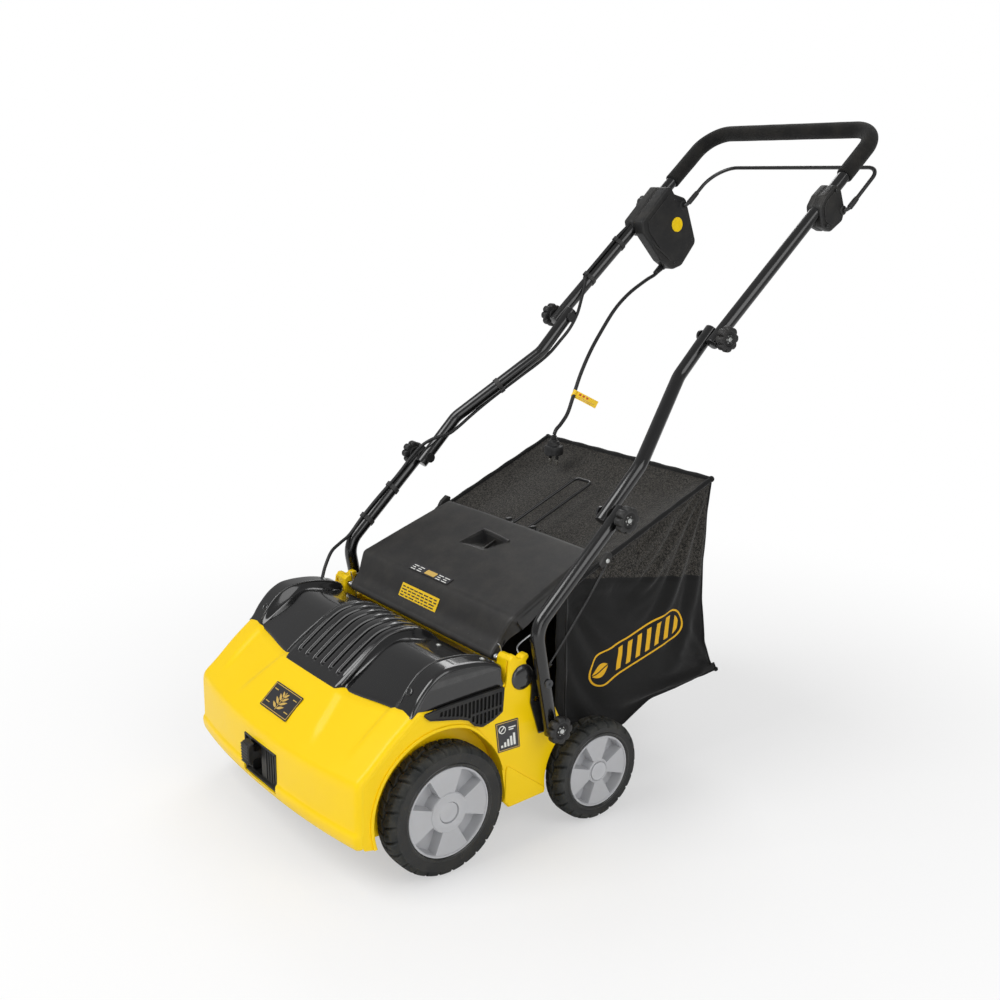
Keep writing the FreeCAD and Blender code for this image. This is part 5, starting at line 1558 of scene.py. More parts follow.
# (y, z) outlines of the inner half and of the slimmer outer half that grips the tube
BOX = [(760, 899), (766, 876), (816, 822), (846, 804.5), (872, 812), (909, 856), (877, 941),
       (846, 949), (836, 962), (826, 962)]
NECK = [(760, 899), (764, 884), (790, 868), (880, 928), (877, 941), (846, 949), (836, 962),
        (826, 962)]
CHEEK_RIB = [(-167.0, 783, 868), (-163.6, 800, 851), (-163.4, 822, 836), (-164.4, 840, 822)]
BOX_SCREW = [(0, 3.2), (0.8, 3.2), (1.2, 2.5), (0.5, 1.9), (0.4, 0.01)]
PIVOT_BOSS = [(0, 9.5), (1.6, 9.5), (2.6, 8.6), (2.6, 3.8)]
BUTTON_BOSS = [(0, 19.0), (9.4, 19.0), (10.6, 18.0), (11.0, 16.6), (11.0, 11.6), (10.2, 10.4),
               (9.0, 9.8), (0.2, 9.8)]


def boss_lobes(angle, along, radius):
    if radius < 13:
        return radius
    return radius - 1.7 * (1 - abs(cos(angle * 5))) ** 1.3


def strain_relief():
    """Ribbed sleeve round the mains cord where it leaves the box."""
    profile = [(0, 8.0), (3.0, 8.0), (3.6, 7.4)]
    for k in range(5):
        profile += [(4.4 + 4.0 * k, 6.6 - 0.4 * k), (6.2 + 4.0 * k, 6.6 - 0.4 * k),
                    (6.6 + 4.0 * k, 4.8), (7.7 + 4.0 * k, 4.8)]
    profile += [(25.4, 4.5), (26.0, 3.7)]
    relief = lathe(profile, ORIGIN, "cord", axis="z", seg=28)
    start, end = Vector((-187.0, 841, 812)), Vector((-186.6, 822, 799))
    swing = Vector((0, 0, 1)).rotation_difference((end - start).normalized())
    turn(relief, Matrix.Translation(start) @ swing.to_matrix().to_4x4())
    return relief


box_line = fillet(BOX[::-1], [5, 6, 8, 14, 14, 16, 18, 14, 9, 7], 6)
neck_line = fillet(NECK[::-1], [5, 6, 8, 8, 8, 10, 6, 6], 5)
switch = [
    plate(neck_line, -216.0, -191.4, "matte", edge=4.5, seg=6, angle=50),
    plate(box_line, -190.8, -164.0, "matte", edge=4.5, seg=6, angle=50),
    plate(shrink(neck_line, 0.975), -192.4, -189.6, "matte", edge=0.5),
    # raised cheek and a curved rib along its lower front
    plate(shrink(box_line, 0.80), -164.4, -162.6, "matte", seg=4),
    sweep(smooth_path(CHEEK_RIB), 2.0, "matte", seg=12),
]
switch += [lathe(BOX_SCREW, (-164.2, y, z), "wire", seg=20)
           for y, z in ((781, 886), (851, 818), (896, 862), (846, 937))]
switch += [
    lathe(PIVOT_BOSS, (-164.5, *BAIL_PIVOT), "matte", seg=36),
    lathe(BUTTON_BOSS, (-216.0, *LOCK_BUTTON), "matte", side=-1, seg=100, lobes=boss_lobes,
          angle=36),
    strain_relief(),
]
piece(join("switch_housing", switch), "upper_handle", "switch_box", slot="black_matte")

CHEEK_DISC = [(0.0, 14.0), (1.4, 14.0), (2.0, 13.4), (2.2, 12.5), (1.8, 11.7), (1.9, 6.0),
              (1.95, 0.01)]
piece(lathe(CHEEK_DISC, (-162.8, 852, 891.5), "yellow", seg=56, name="cheek_disc"),
      "upper_handle", slot="yellow_shell")

BUTTON = [(1.7, 0.01), (1.7, 8.8), (12.2, 8.8), (13.0, 8.3), (13.8, 7.0), (14.6, 5.6),
          (15.4, 4.4), (16.2, 3.6), (16.5, 2.0), (16.5, 0.01)]


def knurl(angle, along, radius):
    in_groove = int(angle / (2 * pi) * 40) % 2 and 1 < along < 11 and radius > 7
    return radius - (0.45 if in_groove else 0.0)


piece(lathe(BUTTON, (-220.5, *LOCK_BUTTON), "button", side=-1, seg=80, lobes=knurl, angle=40,
            name="lock_button_cap"), "safety_button", "lock_button", slot="button_grey")

# ------------------------------------------------------------------ bail and its clamp

BAIL_LEFT, BAIL_RIGHT = -155.0, 226.0
BAIL_BAR = (950, 998)
bail_path = bent_path([(-176.0, *BAIL_PIVOT), (BAIL_LEFT, *BAIL_PIVOT), (BAIL_LEFT, *BAIL_BAR),
                       (BAIL_RIGHT, *BAIL_BAR), (BAIL_RIGHT, *BAIL_PIVOT), (208.0, *BAIL_PIVOT)],
                      [9, 74, 26, 9], 18)
bail = [sweep(bail_path, 3.5, "wire", seg=20)]
bail_dir = Vector((0, 82, 71)).normalized()
for x, start, length in ((BAIL_LEFT, 8.0, 30.0), (BAIL_RIGHT, 7.0, 24.0)):
    foot = Vector((x, *BAIL_PIVOT)) + bail_dir * start
    sleeve = [foot] + [foot + bail_dir * length * share for share in (0.35, 0.7, 1)]
    bail.append(sweep(sleeve, 5.6, "matte", seg=20, radii=[5.0, 5.0, 4.9, 4.6]))
piece(join("bail_bar", bail), "bail", "bail_lever", slot="tube_black")

CLAMP = [(817, 900), (841, 891), (871, 909), (876, 928), (862, 962), (845, 970), (821, 952),
         (809, 934)]
CLAMP_BOSS = [(0, 8.0), (2.0, 8.0), (3.0, 7.0), (3.0, 3.8)]
CLAMP_SCREW = [(0, 3.2), (0.8, 3.2), (1.2, 2.4), (0.5, 1.8), (0.4, 0.01)]
clamp_line = fillet(CLAMP, [8, 9, 9, 8, 8, 8, 8, 9], 5)
clamp = [
    plate(clamp_line, 184.0, 199.7, "matte", edge=4.0, seg=5, angle=50),
    plate(clamp_line, 200.3, 216.0, "matte", edge=4.0, seg=5, angle=50),
    plate(shrink(clamp_line, 0.97), 198.5, 201.5, "matte", edge=0.5),
    plate(shrink(clamp_line, 0.72), 215.0, 217.6, "matte", edge=1.0, seg=4),
    plate(shrink(clamp_line, 0.72), 182.4, 185.0, "matte", edge=1.0, seg=4),
    lathe(CLAMP_BOSS, (216.0, *BAIL_PIVOT), "matte", seg=32),
]
clamp += [lathe(CLAMP_SCREW, (217.4, y, z), "wire", seg=20) for y, z in ((829, 902), (847, 960))]
piece(join("bail_clamp_housing", clamp), "upper_handle", "bail_clamp", slot="black_matte")

# ------------------------------------------------------------------ collection bag

BAG_HALF = 214.0
MOUTH_TOP, KNEE, REAR_TOP = (262.0, 366.0), (330.0, 397.0), (575.0, 497.0)
MOUTH_LOW, REAR_LOW = (262, 125), (608, 150)
LONG, TALL, WIDE = 46, 50, 60    # cells along, up and across the bag


def edge_points(points, count):
    """count + 1 even points along a polyline, its corners a little rounded."""
    points = [np.array(p, float) for p in points]
    line = [points[0]]
    for start, end in zip(points, points[1:]):
        steps = max(1, int(round(np.linalg.norm(end - start) / 2.0)))
        line += [start + (end - start) * k / steps for k in range(1, steps + 1)]
    line = np.array(line)
    for _ in range(12):
        softer = line.copy()
        softer[1:-1] = 0.25 * line[:-2] + 0.5 * line[1:-1] + 0.25 * line[2:]
        line = softer
    return even_points(line, count + 1)


top_line = edge_points([MOUTH_TOP, KNEE, REAR_TOP], LONG)
rear_line = edge_points([REAR_TOP, (566, 430), (561, 360), (565, 290), (577, 215), REAR_LOW], TALL)
low_line = edge_points([MOUTH_LOW, (385, 108), (450, 138), REAR_LOW], LONG)
mouth_line = edge_points([MOUTH_TOP, MOUTH_LOW], TALL)

verts, vert_ids = [], {}


def vert(x, y, z):
    """Index of a point, shared by the faces that meet there."""
    key = (round(x, 3), round(y, 3), round(z, 3))
    if key not in vert_ids:
        vert_ids[key] = len(verts)
        verts.append((x, y, z))
    return vert_ids[key]


# one band over the top, down the rear and forward along the bottom: band[across][along]
band_line = [tuple(p) for p in top_line] + [tuple(p) for p in rear_line[1:]]
band_line += [tuple(p) for p in low_line[::-1][1:]]
band = [[vert(x, y, z) for y, z in band_line] for x in np.linspace(-BAG_HALF, BAG_HALF, WIDE + 1)]
faces = [(band[i][j], band[i + 1][j], band[i + 1][j + 1], band[i][j + 1])
         for i in range(WIDE) for j in range(len(band_line) - 1)]

# each side is a patch blended between its four edges: panels[side][along][down]
panels = {}
for side in (-1, 1):
    grid = []
    for i in range(LONG + 1):
        row = []
        u = i / LONG
        for j in range(TALL + 1):
            v = j / TALL
            p = ((1 - v) * top_line[i] + v * low_line[i] + (1 - u) * mouth_line[j]
                 + u * rear_line[j])
            p = p - ((1 - u) * (1 - v) * top_line[0] + u * (1 - v) * top_line[-1]
                     + (1 - u) * v * low_line[0] + u * v * low_line[-1])
            row.append(vert(side * BAG_HALF, p[0], p[1]))
        grid.append(row)
    panels[side] = grid
    for i in range(LONG):
        for j in range(TALL):
            face = (grid[i][j], grid[i][j + 1], grid[i + 1][j + 1], grid[i + 1][j])
            faces.append(face if side < 0 else face[::-1])
rest = np.array(verts, float)
bag = make(verts, faces, "bag", name="collector_cloth")
bag.data.validate()

# pins: the mouth's hoop, the top edges, the rear's top edge and the lower rear corners hold
# firmly; the lower edges and the bottom hold loosely
REAR_TOP_ROW = LONG
REAR_LOW_ROW = LONG + TALL
pins = np.zeros(len(rest))
for side in (-1, 1):
    grid = panels[side]
    pins[grid[0]] = 1.0
    for i in range(LONG + 1):
        pins[grid[i][0]] = 1.0
        pins[grid[i][TALL]] = max(pins[grid[i][TALL]], 0.55)
    for i in range(LONG - 2, LONG + 1):
        pins[grid[i][TALL - 2:]] = 1.0
for row in band:
    for j in (0, -1, REAR_TOP_ROW):
        pins[row[j]] = 1.0
    pins[row[REAR_LOW_ROW]] = max(pins[row[REAR_LOW_ROW]], 0.8)
    for j in range(REAR_LOW_ROW, len(band_line)):
        pins[row[j]] = max(pins[row[j]], 0.5)


def fan(y, z, centre, start, end, count, reach, phase):
    """Folds that spread from a corner between two angles (degrees) and fade with distance."""
    dy, dz = y - centre[0], z - centre[1]
    distance = np.hypot(dy, dz)
    t = (np.degrees(np.arctan2(dz, dy)) % 360 - start) / (end - start)
    weight = (smoothstep(0, 0.12, t) * (1 - smoothstep(0.88, 1, t))
              * smoothstep(6, 60, distance) * (1 - smoothstep(reach * 0.45, reach, distance)))
    wave = t * count * 2 * pi + phase + 0.6 * np.sin(distance / 47.0 + phase)
    return weight * (np.cos(wave) + 0.35 * np.cos(2 * wave + 1.0))


def side_folds(y, z):
    folds = 5.2 * fan(y, z, (575, 499), 195, 272, count=4.6, reach=330, phase=0.4)
    folds = folds + 3.2 * fan(y, z, (608, 148), 110, 185, count=3.0, reach=260, phase=1.9)
    folds = folds + 2.6 * fan(y, z, (262, 366), 290, 362, count=3.2, reach=230, phase=0.8)
    return folds + (1.6 * np.sin(y / 31.0 + z / 74.0) * smoothstep(290, 350, y)
                    * (1 - smoothstep(500, 570, y)) * smoothstep(140, 190, z)
                    * (1 - smoothstep(330, 380, z)))


def slack_cloth():
    """The bag's points with folded sides, a sagging top and a hollow rear panel."""
    cloth = rest.copy()
    x, y, z = rest.T
    loose = (np.abs(np.abs(x) - BAG_HALF) < 0.01) & (pins < 0.5)
    hollow = (5.0 * np.sin(np.clip((y - 262) / (575 - 262), 0, 1) * pi)
              * np.sin(np.clip((z - 110) / 300, 0, 1) * pi))
    cloth[loose, 0] -= np.sign(x[loose]) * (hollow[loose] - side_folds(y[loose], z[loose]))

    on_top = np.zeros(len(rest), bool)
    on_rear = np.zeros(len(rest), bool)
    for row in band[1:-1]:
        on_top[row[1:REAR_TOP_ROW]] = True
        on_rear[row[REAR_TOP_ROW + 1:REAR_LOW_ROW]] = True
    middle = 1 - (np.abs(x) / BAG_HALF) ** 2
    arch = np.sin(np.clip((y - 262) / 313, 0, 1) * pi)
    ripple = 1.5 * np.sin(x / 23.0 + np.sin(y / 40.0)) * middle * arch
    cloth[on_top, 2] -= (9.0 * middle * arch ** 0.8)[on_top]
    cloth[on_top, 2] += ripple[on_top]
    arch = np.sin(np.clip((497 - z) / 347, 0, 1) * pi)
    cloth[on_rear, 1] -= (9.0 * middle * arch
                          + 2.2 * np.sin(x / 27.0 + z / 60.0) * middle * arch)[on_rear]
    return cloth


cloth = slack_cloth()
set_coords(bag.data, cloth)

CLOTH_FRAMES = 26
CLOTH_LIMIT = 12.0    # farthest a point may move, mm
CLOTH = {
    "quality": 7, "mass": 0.28, "tension_stiffness": 28, "compression_stiffness": 20,
    "shear_stiffness": 12, "bending_stiffness": 0.9, "air_damping": 2.0, "shrink_min": -0.012,
    "shrink_max": 0.006, "vertex_group_mass": "pin",
}


def simulate():
    """Runs the cloth for a short time and returns its points in drawing millimetres."""
    group = bag.vertex_groups.new(name="pin")
    for i, weight in enumerate(pins):
        if weight > 0:
            group.add([i], float(weight), "REPLACE")
    modifier = bag.modifiers.new("cloth", "CLOTH")
    for name, value in CLOTH.items():
        setattr(modifier.settings, name, value)
    modifier.collision_settings.use_collision = False
    modifier.collision_settings.use_self_collision = False
    modifier.point_cache.frame_start = 1
    modifier.point_cache.frame_end = CLOTH_FRAMES
    for number in range(1, CLOTH_FRAMES + 1):
        scene.frame_set(number)
    graph = bpy.context.evaluated_depsgraph_get()
    settled = get_coords(bag.evaluated_get(graph).data) * 1000 - SHIFT
    bag.modifiers.clear()
    bag.vertex_groups.clear()
    scene.frame_set(1)
    return settled


settled = simulate()
# a simulation that blew up leaves the drawn folds as they are
if np.isfinite(settled).all():
    move = settled - cloth
    length = np.linalg.norm(move, axis=1)
    move *= (np.minimum(length, CLOTH_LIMIT) / np.maximum(length, 1e-9))[:, None]
    cloth = cloth + move
    cloth[:, 0] = np.clip(cloth[:, 0], -BAG_HALF - 5.5, BAG_HALF + 5.5)
    cloth[:, 1] = np.maximum(cloth[:, 1], 261.0)
    set_coords(bag.data, cloth)

modify(bag, "SUBSURF", levels=1, render_levels=1)
modify(bag, "SOLIDIFY", thickness=0.0012, offset=0.0)
smooth(bag, 60)
piece(bag, "bag", "collection_bag", slot="bag_fabric")


def seam(ids, radius, seg=8):
    return sweep(cloth[ids], radius, "piping", seg=seg)


def corner_ball(centre, radius):
    """Puffed corner where the binding folds over the wire."""
    steps = ((-1, None), (-0.92, 0.38), (-0.7, 0.7), (-0.38, 0.92), (0, 1), (0.38, 0.92),
             (0.7, 0.7), (0.92, 0.38), (1, None))
    profile = [(radius * a, 0.01 if b is None else radius * b) for a, b in steps]
    return lathe(profile, tuple(centre), "piping", seg=24)


def cuff(side):
    """Strip of cloth between the mouth and the deck's rear edge."""
    points = []
    for k in range(25):
        z = 352 - 214 * (k / 24)
        for x, y in ((214.6, 265.0), (215.4, 258.0), (214.2, 250.0), (215.0, 243.0)):
            points.append((side * (x + 0.7 * sin(z / 9.0 + y / 5.0)), y + 1.2 * sin(z / 17.0), z))
    strip = make(points, grid_faces(25, 4), "piping", angle=60)
    solidify(strip, 1.2, 0.0)
    return strip


# padded binding along the top and rear edges, thin seams elsewhere
top_ids = {side: [row[0] for row in panels[side]] for side in (-1, 1)}
padded = top_ids[1] + [row[REAR_TOP_ROW] for row in band][::-1][1:-1] + top_ids[-1][::-1]
binding = [sweep(cloth[padded], 4.4, "piping", seg=14,
                 radii=[4.2 + 0.45 * sin(k * 0.9) for k in range(len(padded))]),
           seam([row[0] for row in band], 3.6, 12)]
for side in (-1, 1):
    binding += [seam(panels[side][LONG], 1.7), seam([row[TALL] for row in panels[side]], 1.7),
                seam(panels[side][0], 2.8, 10)]
binding += [seam([row[REAR_LOW_ROW] for row in band], 1.9), seam([row[-1] for row in band], 2.6)]
for side in (-1, 1):
    binding += [corner_ball(cloth[panels[side][LONG][0]], 5.4),
                corner_ball(cloth[panels[side][LONG][TALL]], 4.2)]
binding += [cuff(-1), cuff(1)]
piece(join("bag_binding", binding), "bag", slot="bag_fabric")

# ------------------------------------------------------------------ bag wires

HOOP = [(-206, 268, 358), (206, 268, 358), (206, 268, 133), (-206, 268, 133), (-206, 268, 356)]
hoop = [sweep(bent_path(HOOP, 12, 6), 2.5, "wire", seg=14)]
for x in (200, -200):
    hoop.append(sweep(bent_path([(x, 272, 346), (x, 330, 384), (x, 560, 479)], 20, 6), 2.5,
                      "wire", seg=14))
piece(join("bag_hoop", hoop), "bag", "bag_frame", slot="steel")

LOOP = [(39, 341, 409), (21, 341, 409), (21, 482, 466.5), (-21, 482, 466.5), (-21, 341, 409),
        (-39, 341, 409)]
piece(sweep(bent_path(LOOP, [4, 9, 9, 4], 8), 2.6, "wire", seg=18, name="bag_loop_wire"),
      "bag_loop", "bag_handle", slot="steel")

STAY = [(218, 338, 399), (222, 334, 392), (222.5, 300, 347), (222.5, 250, 287), (222, 224, 257)]
STAY_CLIP = [(326, 392), (344, 400), (348, 412), (340, 416), (328, 407), (322, 398)]
CLIP_PIN = [(0, 3.6), (1.2, 3.6), (1.8, 2.8), (1.9, 0.01)]
STRAP = [(219.5, 330, 402), (218, 318, 396), (216.5, 306, 388)]


def on_side(points, side):
    return [(side * x, y, z) for x, y, z in points]


stays = []
for side in (1, -1):
    eye = [(222 - 3 * cos(a), 224 + 3.4 * sin(a), 254 - 3.4 * cos(a))
           for a in np.linspace(0, 5.2, 18)]
    stays += [
        sweep(smooth_path(on_side(STAY, side)), 1.6, "wire", seg=12),
        sweep(on_side(eye, side), 1.4, "wire", seg=10),
        plate(fillet(STAY_CLIP, 2.5, 3), *span(side, 216.5, 225.0), "matte", edge=1.2),
        lathe(CLIP_PIN, (side * 225.0, 337, 403), "zinc", side=side, seg=20),
        sweep(smooth_path(on_side(STRAP, side), 6), 2.6, "piping", seg=10),
    ]
piece(join("bag_side_stays", stays), "bag", slot="steel")

# ------------------------------------------------------------------ flap springs, rod and hooks

ROD_HALF = 236
ROD_END = [(0, 3.0), (0, 5.6), (0.6, 6.0), (3.0, 6.0), (3.6, 5.2), (3.6, 0.01)]
COIL_TURNS, COIL_STEPS, COIL_RADIUS = 4, 26, 4.6
springs = []
for side in (-1, 1):
    coil = [(207.6, 135.6, 262), (207.9, 135.6, 282)]
    for k in range(COIL_TURNS * COIL_STEPS + 1):
        a = 2 * pi * k / COIL_STEPS
        coil.append((208.4 + 8.0 * k / (COIL_TURNS * COIL_STEPS),
                     HINGE[0] + COIL_RADIUS * cos(a), HINGE[1] + COIL_RADIUS * sin(a)))
    coil += [(216.8, 134.4, 300), (217.0, 131.5, 309), (214.0, 130.5, 311)]
    springs.append(sweep(on_side(coil, side), 1.0, "steel", seg=8))
    springs.append(lathe(ROD_END, (side * 246.5, *HINGE), "zinc", side=side, seg=28))
piece(join("flap_spring_coils", springs), "deck", "flap_springs", slot="steel")

rod_length = 2 * ROD_HALF
rod = [(0, 0.01), (0, 2.4), (0.6, 3.0), (rod_length - 0.6, 3.0), (rod_length, 2.4),
       (rod_length, 0.01)]
piece(lathe(rod, (-ROD_HALF, *HINGE), "steel", seg=28, name="hinge_rod_bar"),
      "deck", "flap_hinge_rod", slot="steel")

HOOK = [(236, 153, 297), (228, 156, 301), (223.5, 163, 305), (222.5, 176, 310.5),
        (222.5, 187, 315), (223.5, 190, 318)]
hooks = [sweep(smooth_path(on_side(HOOK, side)), 1.3, "steel", seg=10) for side in (1, -1)]
piece(join("bag_hooks", hooks), "deck", slot="steel")

# ------------------------------------------------------------------ mains cord, plug, tag

MAINS = [(-187.0, 834, 805), (-186, 818, 795), (-183.4, 793, 786), (-177.5, 744, 764),
         (-168.8, 700, 737), (-158.6, 657, 699), (-147.4, 620, 664), (-136.7, 588, 626),
         (-126.5, 562, 588), (-117, 541, 561), (-110.5, 520, 545), (-107.6, 507, 537),
         (-107, 501.4, 528)]
piece(sweep(smooth_path(MAINS, 10), 3.5, "cord", seg=18, name="mains_lead"),
      "upper_handle", "mains_cord", slot="cord")

PLUG_X, PLUG_Y, PLUG_Z = -107, 501, 491.2
PLUG = [(0, 0.01), (0, 15.6), (0.5, 16.6), (1.4, 17.3), (8, 17.4), (14.5, 17.4), (16.0, 16.6),
        (17.0, 14.2), (18.2, 12.2), (21.0, 11.2), (24.0, 10.6), (25.2, 9.4), (26.0, 7.0),
        (26.8, 6.6), (28.0, 6.6), (28.6, 4.9), (29.6, 4.9), (30.2, 6.1), (31.4, 6.1), (32.0, 4.7),
        (33.0, 4.7), (33.6, 5.6), (34.8, 5.6), (35.4, 4.4), (36.0, 3.6)]
PIN_BASE = [(0.6, 0.01), (0.6, 2.9), (-7.5, 2.7), (-8.2, 2.35)]
PIN = [(0, 2.35), (-17.2, 2.35), (-18.6, 1.7), (-19.0, 0.01)]


def plug_flats(angle, along, radius):
    """Two ribbed flats on the sides of the plug's body."""
    if 6.0 < along < 36 and radius > 9:
        flat = 1.7 * float(smoothstep(0.80, 0.97, abs(sin(angle))))
        return radius - (flat + (0.25 if int(along * 1.2) % 2 and along < 26 else 0.0))
    return radius


plug = [lathe(PLUG, (PLUG_X, PLUG_Y, PLUG_Z), "cord", axis="z", seg=72, lobes=plug_flats,
              angle=36)]
for dx in (-9.5, 9.5):
    for profile, mat in ((PIN_BASE, "cord"), (PIN, "pins")):
        plug.append(lathe(profile, (PLUG_X + dx, PLUG_Y, PLUG_Z), mat, axis="z", seg=24))
piece(join("schuko_style_plug", plug), "upper_handle", "mains_plug", slot="cord")

# tag: a strip that leaves the cord along tag_out, as wide as 14 mm of the cord
TAG_HALF = 7.0
tag_origin = np.array((-127.8, 566.0, 594.0))
tag_out = np.array((0.64, 0.63, -0.44))
tag_out /= np.linalg.norm(tag_out)
cord_dir = np.array((10.2, 26.0, 38.0))
cord_dir /= np.linalg.norm(cord_dir)
tag_up = cord_dir - tag_out * (cord_dir @ tag_out)
tag_up /= np.linalg.norm(tag_up)
tag_normal = np.cross(tag_out, tag_up)


def tag_sheet(mat, x0, x1, y0, y1, offset, steps):
    """Thin curled sheet from x0 to x1 away from the cord and y0 to y1 along it."""
    points = []
    for lift in (0, 0.35):
        for i in range(steps + 1):
            x = x0 + (x1 - x0) * i / steps
            curl = 2.4 * sin(max(0, x) / 47.0 * pi) + 0.9 * sin(x / 9.0)
            points += [tag_origin + tag_out * x + tag_up * y + tag_normal * (offset + curl + lift)
                       for y in (y0, y1)]
    k = (steps + 1) * 2
    faces = []
    for a in range(0, 2 * steps, 2):
        faces += [(a, a + 1, a + 3, a + 2), (k + a, k + a + 2, k + a + 3, k + a + 1),
                  (a, a + 2, k + a + 2, k + a), (a + 1, k + a + 1, k + a + 3, a + 3)]
    faces += [(0, k, k + 1, 1), (2 * steps, 2 * steps + 1, k + 2 * steps + 1, k + 2 * steps)]
    return make(points, faces, mat, angle=60)


def tag_wrap():
    """The part of the tag that goes round the cord."""
    ring = [(3.9 * cos(a), 3.9 * sin(a)) for a in np.linspace(0, 2 * pi, 28, endpoint=False)]
    points = [tag_origin + tag_out * a + tag_normal * b + tag_up * y
              for y in (-TAG_HALF, TAG_HALF) for a, b in ring]
    k = len(ring)
    faces = [(i, (i + 1) % k, k + (i + 1) % k, k + i) for i in range(k)]
    faces += [tuple(range(k))[::-1], tuple(range(k, 2 * k))]
    return make(points, faces, "print_yellow")


tag = [tag_sheet("print_yellow", 2.5, 47, -TAG_HALF, TAG_HALF, -0.4, 24), tag_wrap()]
for x0, x1 in ((9, 12.6), (16.4, 20.0), (23.8, 27.4)):
    tag += [tag_sheet("red", x0, x1, 0.9, 4.6, offset, 4) for offset in (0.02, -0.5)]
for x1, y0, y1 in ((42, -2.4, -1.4), (36, -4.9, -3.9)):
    tag.append(tag_sheet("print_gold", 9, x1, y0, y1, 0.02, 10))
piece(join("cord_tag", tag), "upper_handle", slot="yellow_shell")

# ------------------------------------------------------------------ motor cable, left tubes

CABLE_RADIUS = 3.0
CABLE_LOWER = [(-236, 84, 296), (-239, 88, 306), (-244, 97, 322), (-253, 115, 342),
               (-261, 138, 352), (-266, 160, 362), (-267.5, 190, 391.5), (-266, 226, 425),
               (-263, 262, 457), (-259, 286, 484), (-249, 306, 508), (-236, 321, 521),
               (-229.5, 337, 526), (-228, 354, 529), (-228, 374, 539), (-231, 405, 556),
               (-225, 433, 576), (-212, 462.7, 599.9)]
CABLE_MIDDLE = [(-212, 462.7, 599.9), (-196, 497.5, 627), (-183, 523, 647.5), (-175, 545, 666),
                (-168, 563, 687), (-163, 582, 709), (-166, 602, 733), (-176, 620, 756),
                (-187, 638, 783), (-195, 647.5, 798), (-200.5, 652.7, 803.6)]
CABLE_UPPER = [(-200.5, 652.7, 803.6), (-200.5, 690, 835.6), (-200.5, 728, 868), (-201, 750, 884),
               (-202, 768, 897)]


def cable(name, points):
    return sweep(smooth_path(points), CABLE_RADIUS, "cord", seg=14, name=name)


lead = cable("motor_lead_lower", CABLE_LOWER)
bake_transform(lead)
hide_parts("motor_cable")
lead = cable("motor_lead_middle", CABLE_MIDDLE)
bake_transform(lead)
piece(cable("motor_lead_upper", CABLE_UPPER), "upper_handle", slot="cord")


def cable_clip(letter, centre, along, to_cable, body):
    """Strap round the tube with a small saddle for the cable."""
    centre = Vector(centre)
    along = Vector(along).normalized()
    to_cable = Vector(to_cable).normalized()
    across = along.cross(to_cable).normalized()
    band_radius = TUBE_RADIUS + 0.9
    saddle_radius = CABLE_RADIUS + 1.2
    gap = TUBE_RADIUS + CABLE_RADIUS + 0.2
    loop = []
    for k in range(40):
        a = pi * (0.2 + 1.6 * k / 39)
        loop.append(to_cable * cos(a) * band_radius + across * sin(a) * band_radius)
    for k in range(17):
        a = pi * (-0.62 + 1.24 * k / 16)
        loop.append(to_cable * (gap + cos(a) * saddle_radius) + across * sin(a) * saddle_radius)
    count = len(loop)
    points = []
    # the strap's cross-section as (offset along the tube, outward growth)
    for offset, grow in ((-4.5, 0.0), (-4.0, 0.7), (4.0, 0.7), (4.5, 0.0), (4.0, -0.6),
                         (-4.0, -0.6)):
        for i, point in enumerate(loop):
            out = (loop[(i + 1) % count] - loop[i - 1]).cross(along).normalized()
            if out.dot(point) < 0:
                out = -out
            points.append(centre + point + out * grow + along * offset)
    clip = make(points, grid_faces(6, count, closed_rows=True, closed_columns=True), "matte",
                name="cable_clip_" + letter, angle=40)
    piece(clip, body, slot="black_matte")


lower_dir = (0, 0.733, 0.680)
middle_dir = Vector((68, 145.5, 115.5)).normalized()
middle_out = Vector((0, 0.62, -0.78))
middle_out = (middle_out - middle_dir * middle_out.dot(middle_dir)).normalized()
upper_dir, upper_out = (0, 0.7604, 0.6494), (0, -0.6494, 0.7604)
cable_clip("a", (-LOWER_X, 200, 382.3), lower_dir, (0.04, -0.680, 0.733), "deck")
cable_clip("b", (-LOWER_X, 254, 432.3), lower_dir, (0.25, -0.66, 0.71), "deck")
cable_clip("c", (-212, 453.7, 611.2), middle_dir, middle_out, "middle_handle")
cable_clip("d", (-UPPER_X, 662.0, 792.7), upper_dir, upper_out, "upper_handle")
cable_clip("e", (-UPPER_X, 735.0, 855.1), upper_dir, upper_out, "upper_handle")

# ------------------------------------------------------------------ parts that stay as drawn

FINISH = {
    "chassis": "cast", "rotor_bearings": "zinc", "motor_housing": "cast", "belt_cover": "matte",
    "drive_belt": "belt", "rear_axle": "zinc", "front_axle": "zinc", "handle_brackets": "tube",
    "deck_bolts": "zinc", "tube_rivets": "cast", "lower_joint_bolts": "wire",
    "upper_joint_bolts": "wire", "rotor_shaft": "steel", "thatch_blades": "steel",
    "blade_spacers": "matte", "rotor_pulley": "cast", "motor_armature": "steel",
    "cooling_fan": "matte", "motor_pulley": "cast", "handle_pivots": "matte",
}
for node, mat in FINISH.items():
    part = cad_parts[node]
    part.data.materials.clear()
    part.data.materials.append(MAT[mat])
    for face in part.data.polygons:
        face.material_index = 0
    part.data.polygons.foreach_set("use_smooth", [True] * len(part.data.polygons))
    part.data.set_sharp_from_angle(angle=radians(32))

# ------------------------------------------------------------------ camera, light, floor


def add_camera():
    data = bpy.data.cameras.new("cam")
    data.lens = 44.55
    data.sensor_width = 36.0
    data.clip_start = 0.02
    data.clip_end = 50
    camera = bpy.data.objects.new("cam", data)
    camera.location = (1.5938, -1.3183, 0.9905)
    camera.rotation_euler = (radians(75.15), 0, radians(52.85))
    scene.collection.objects.link(camera)
    scene.camera = camera


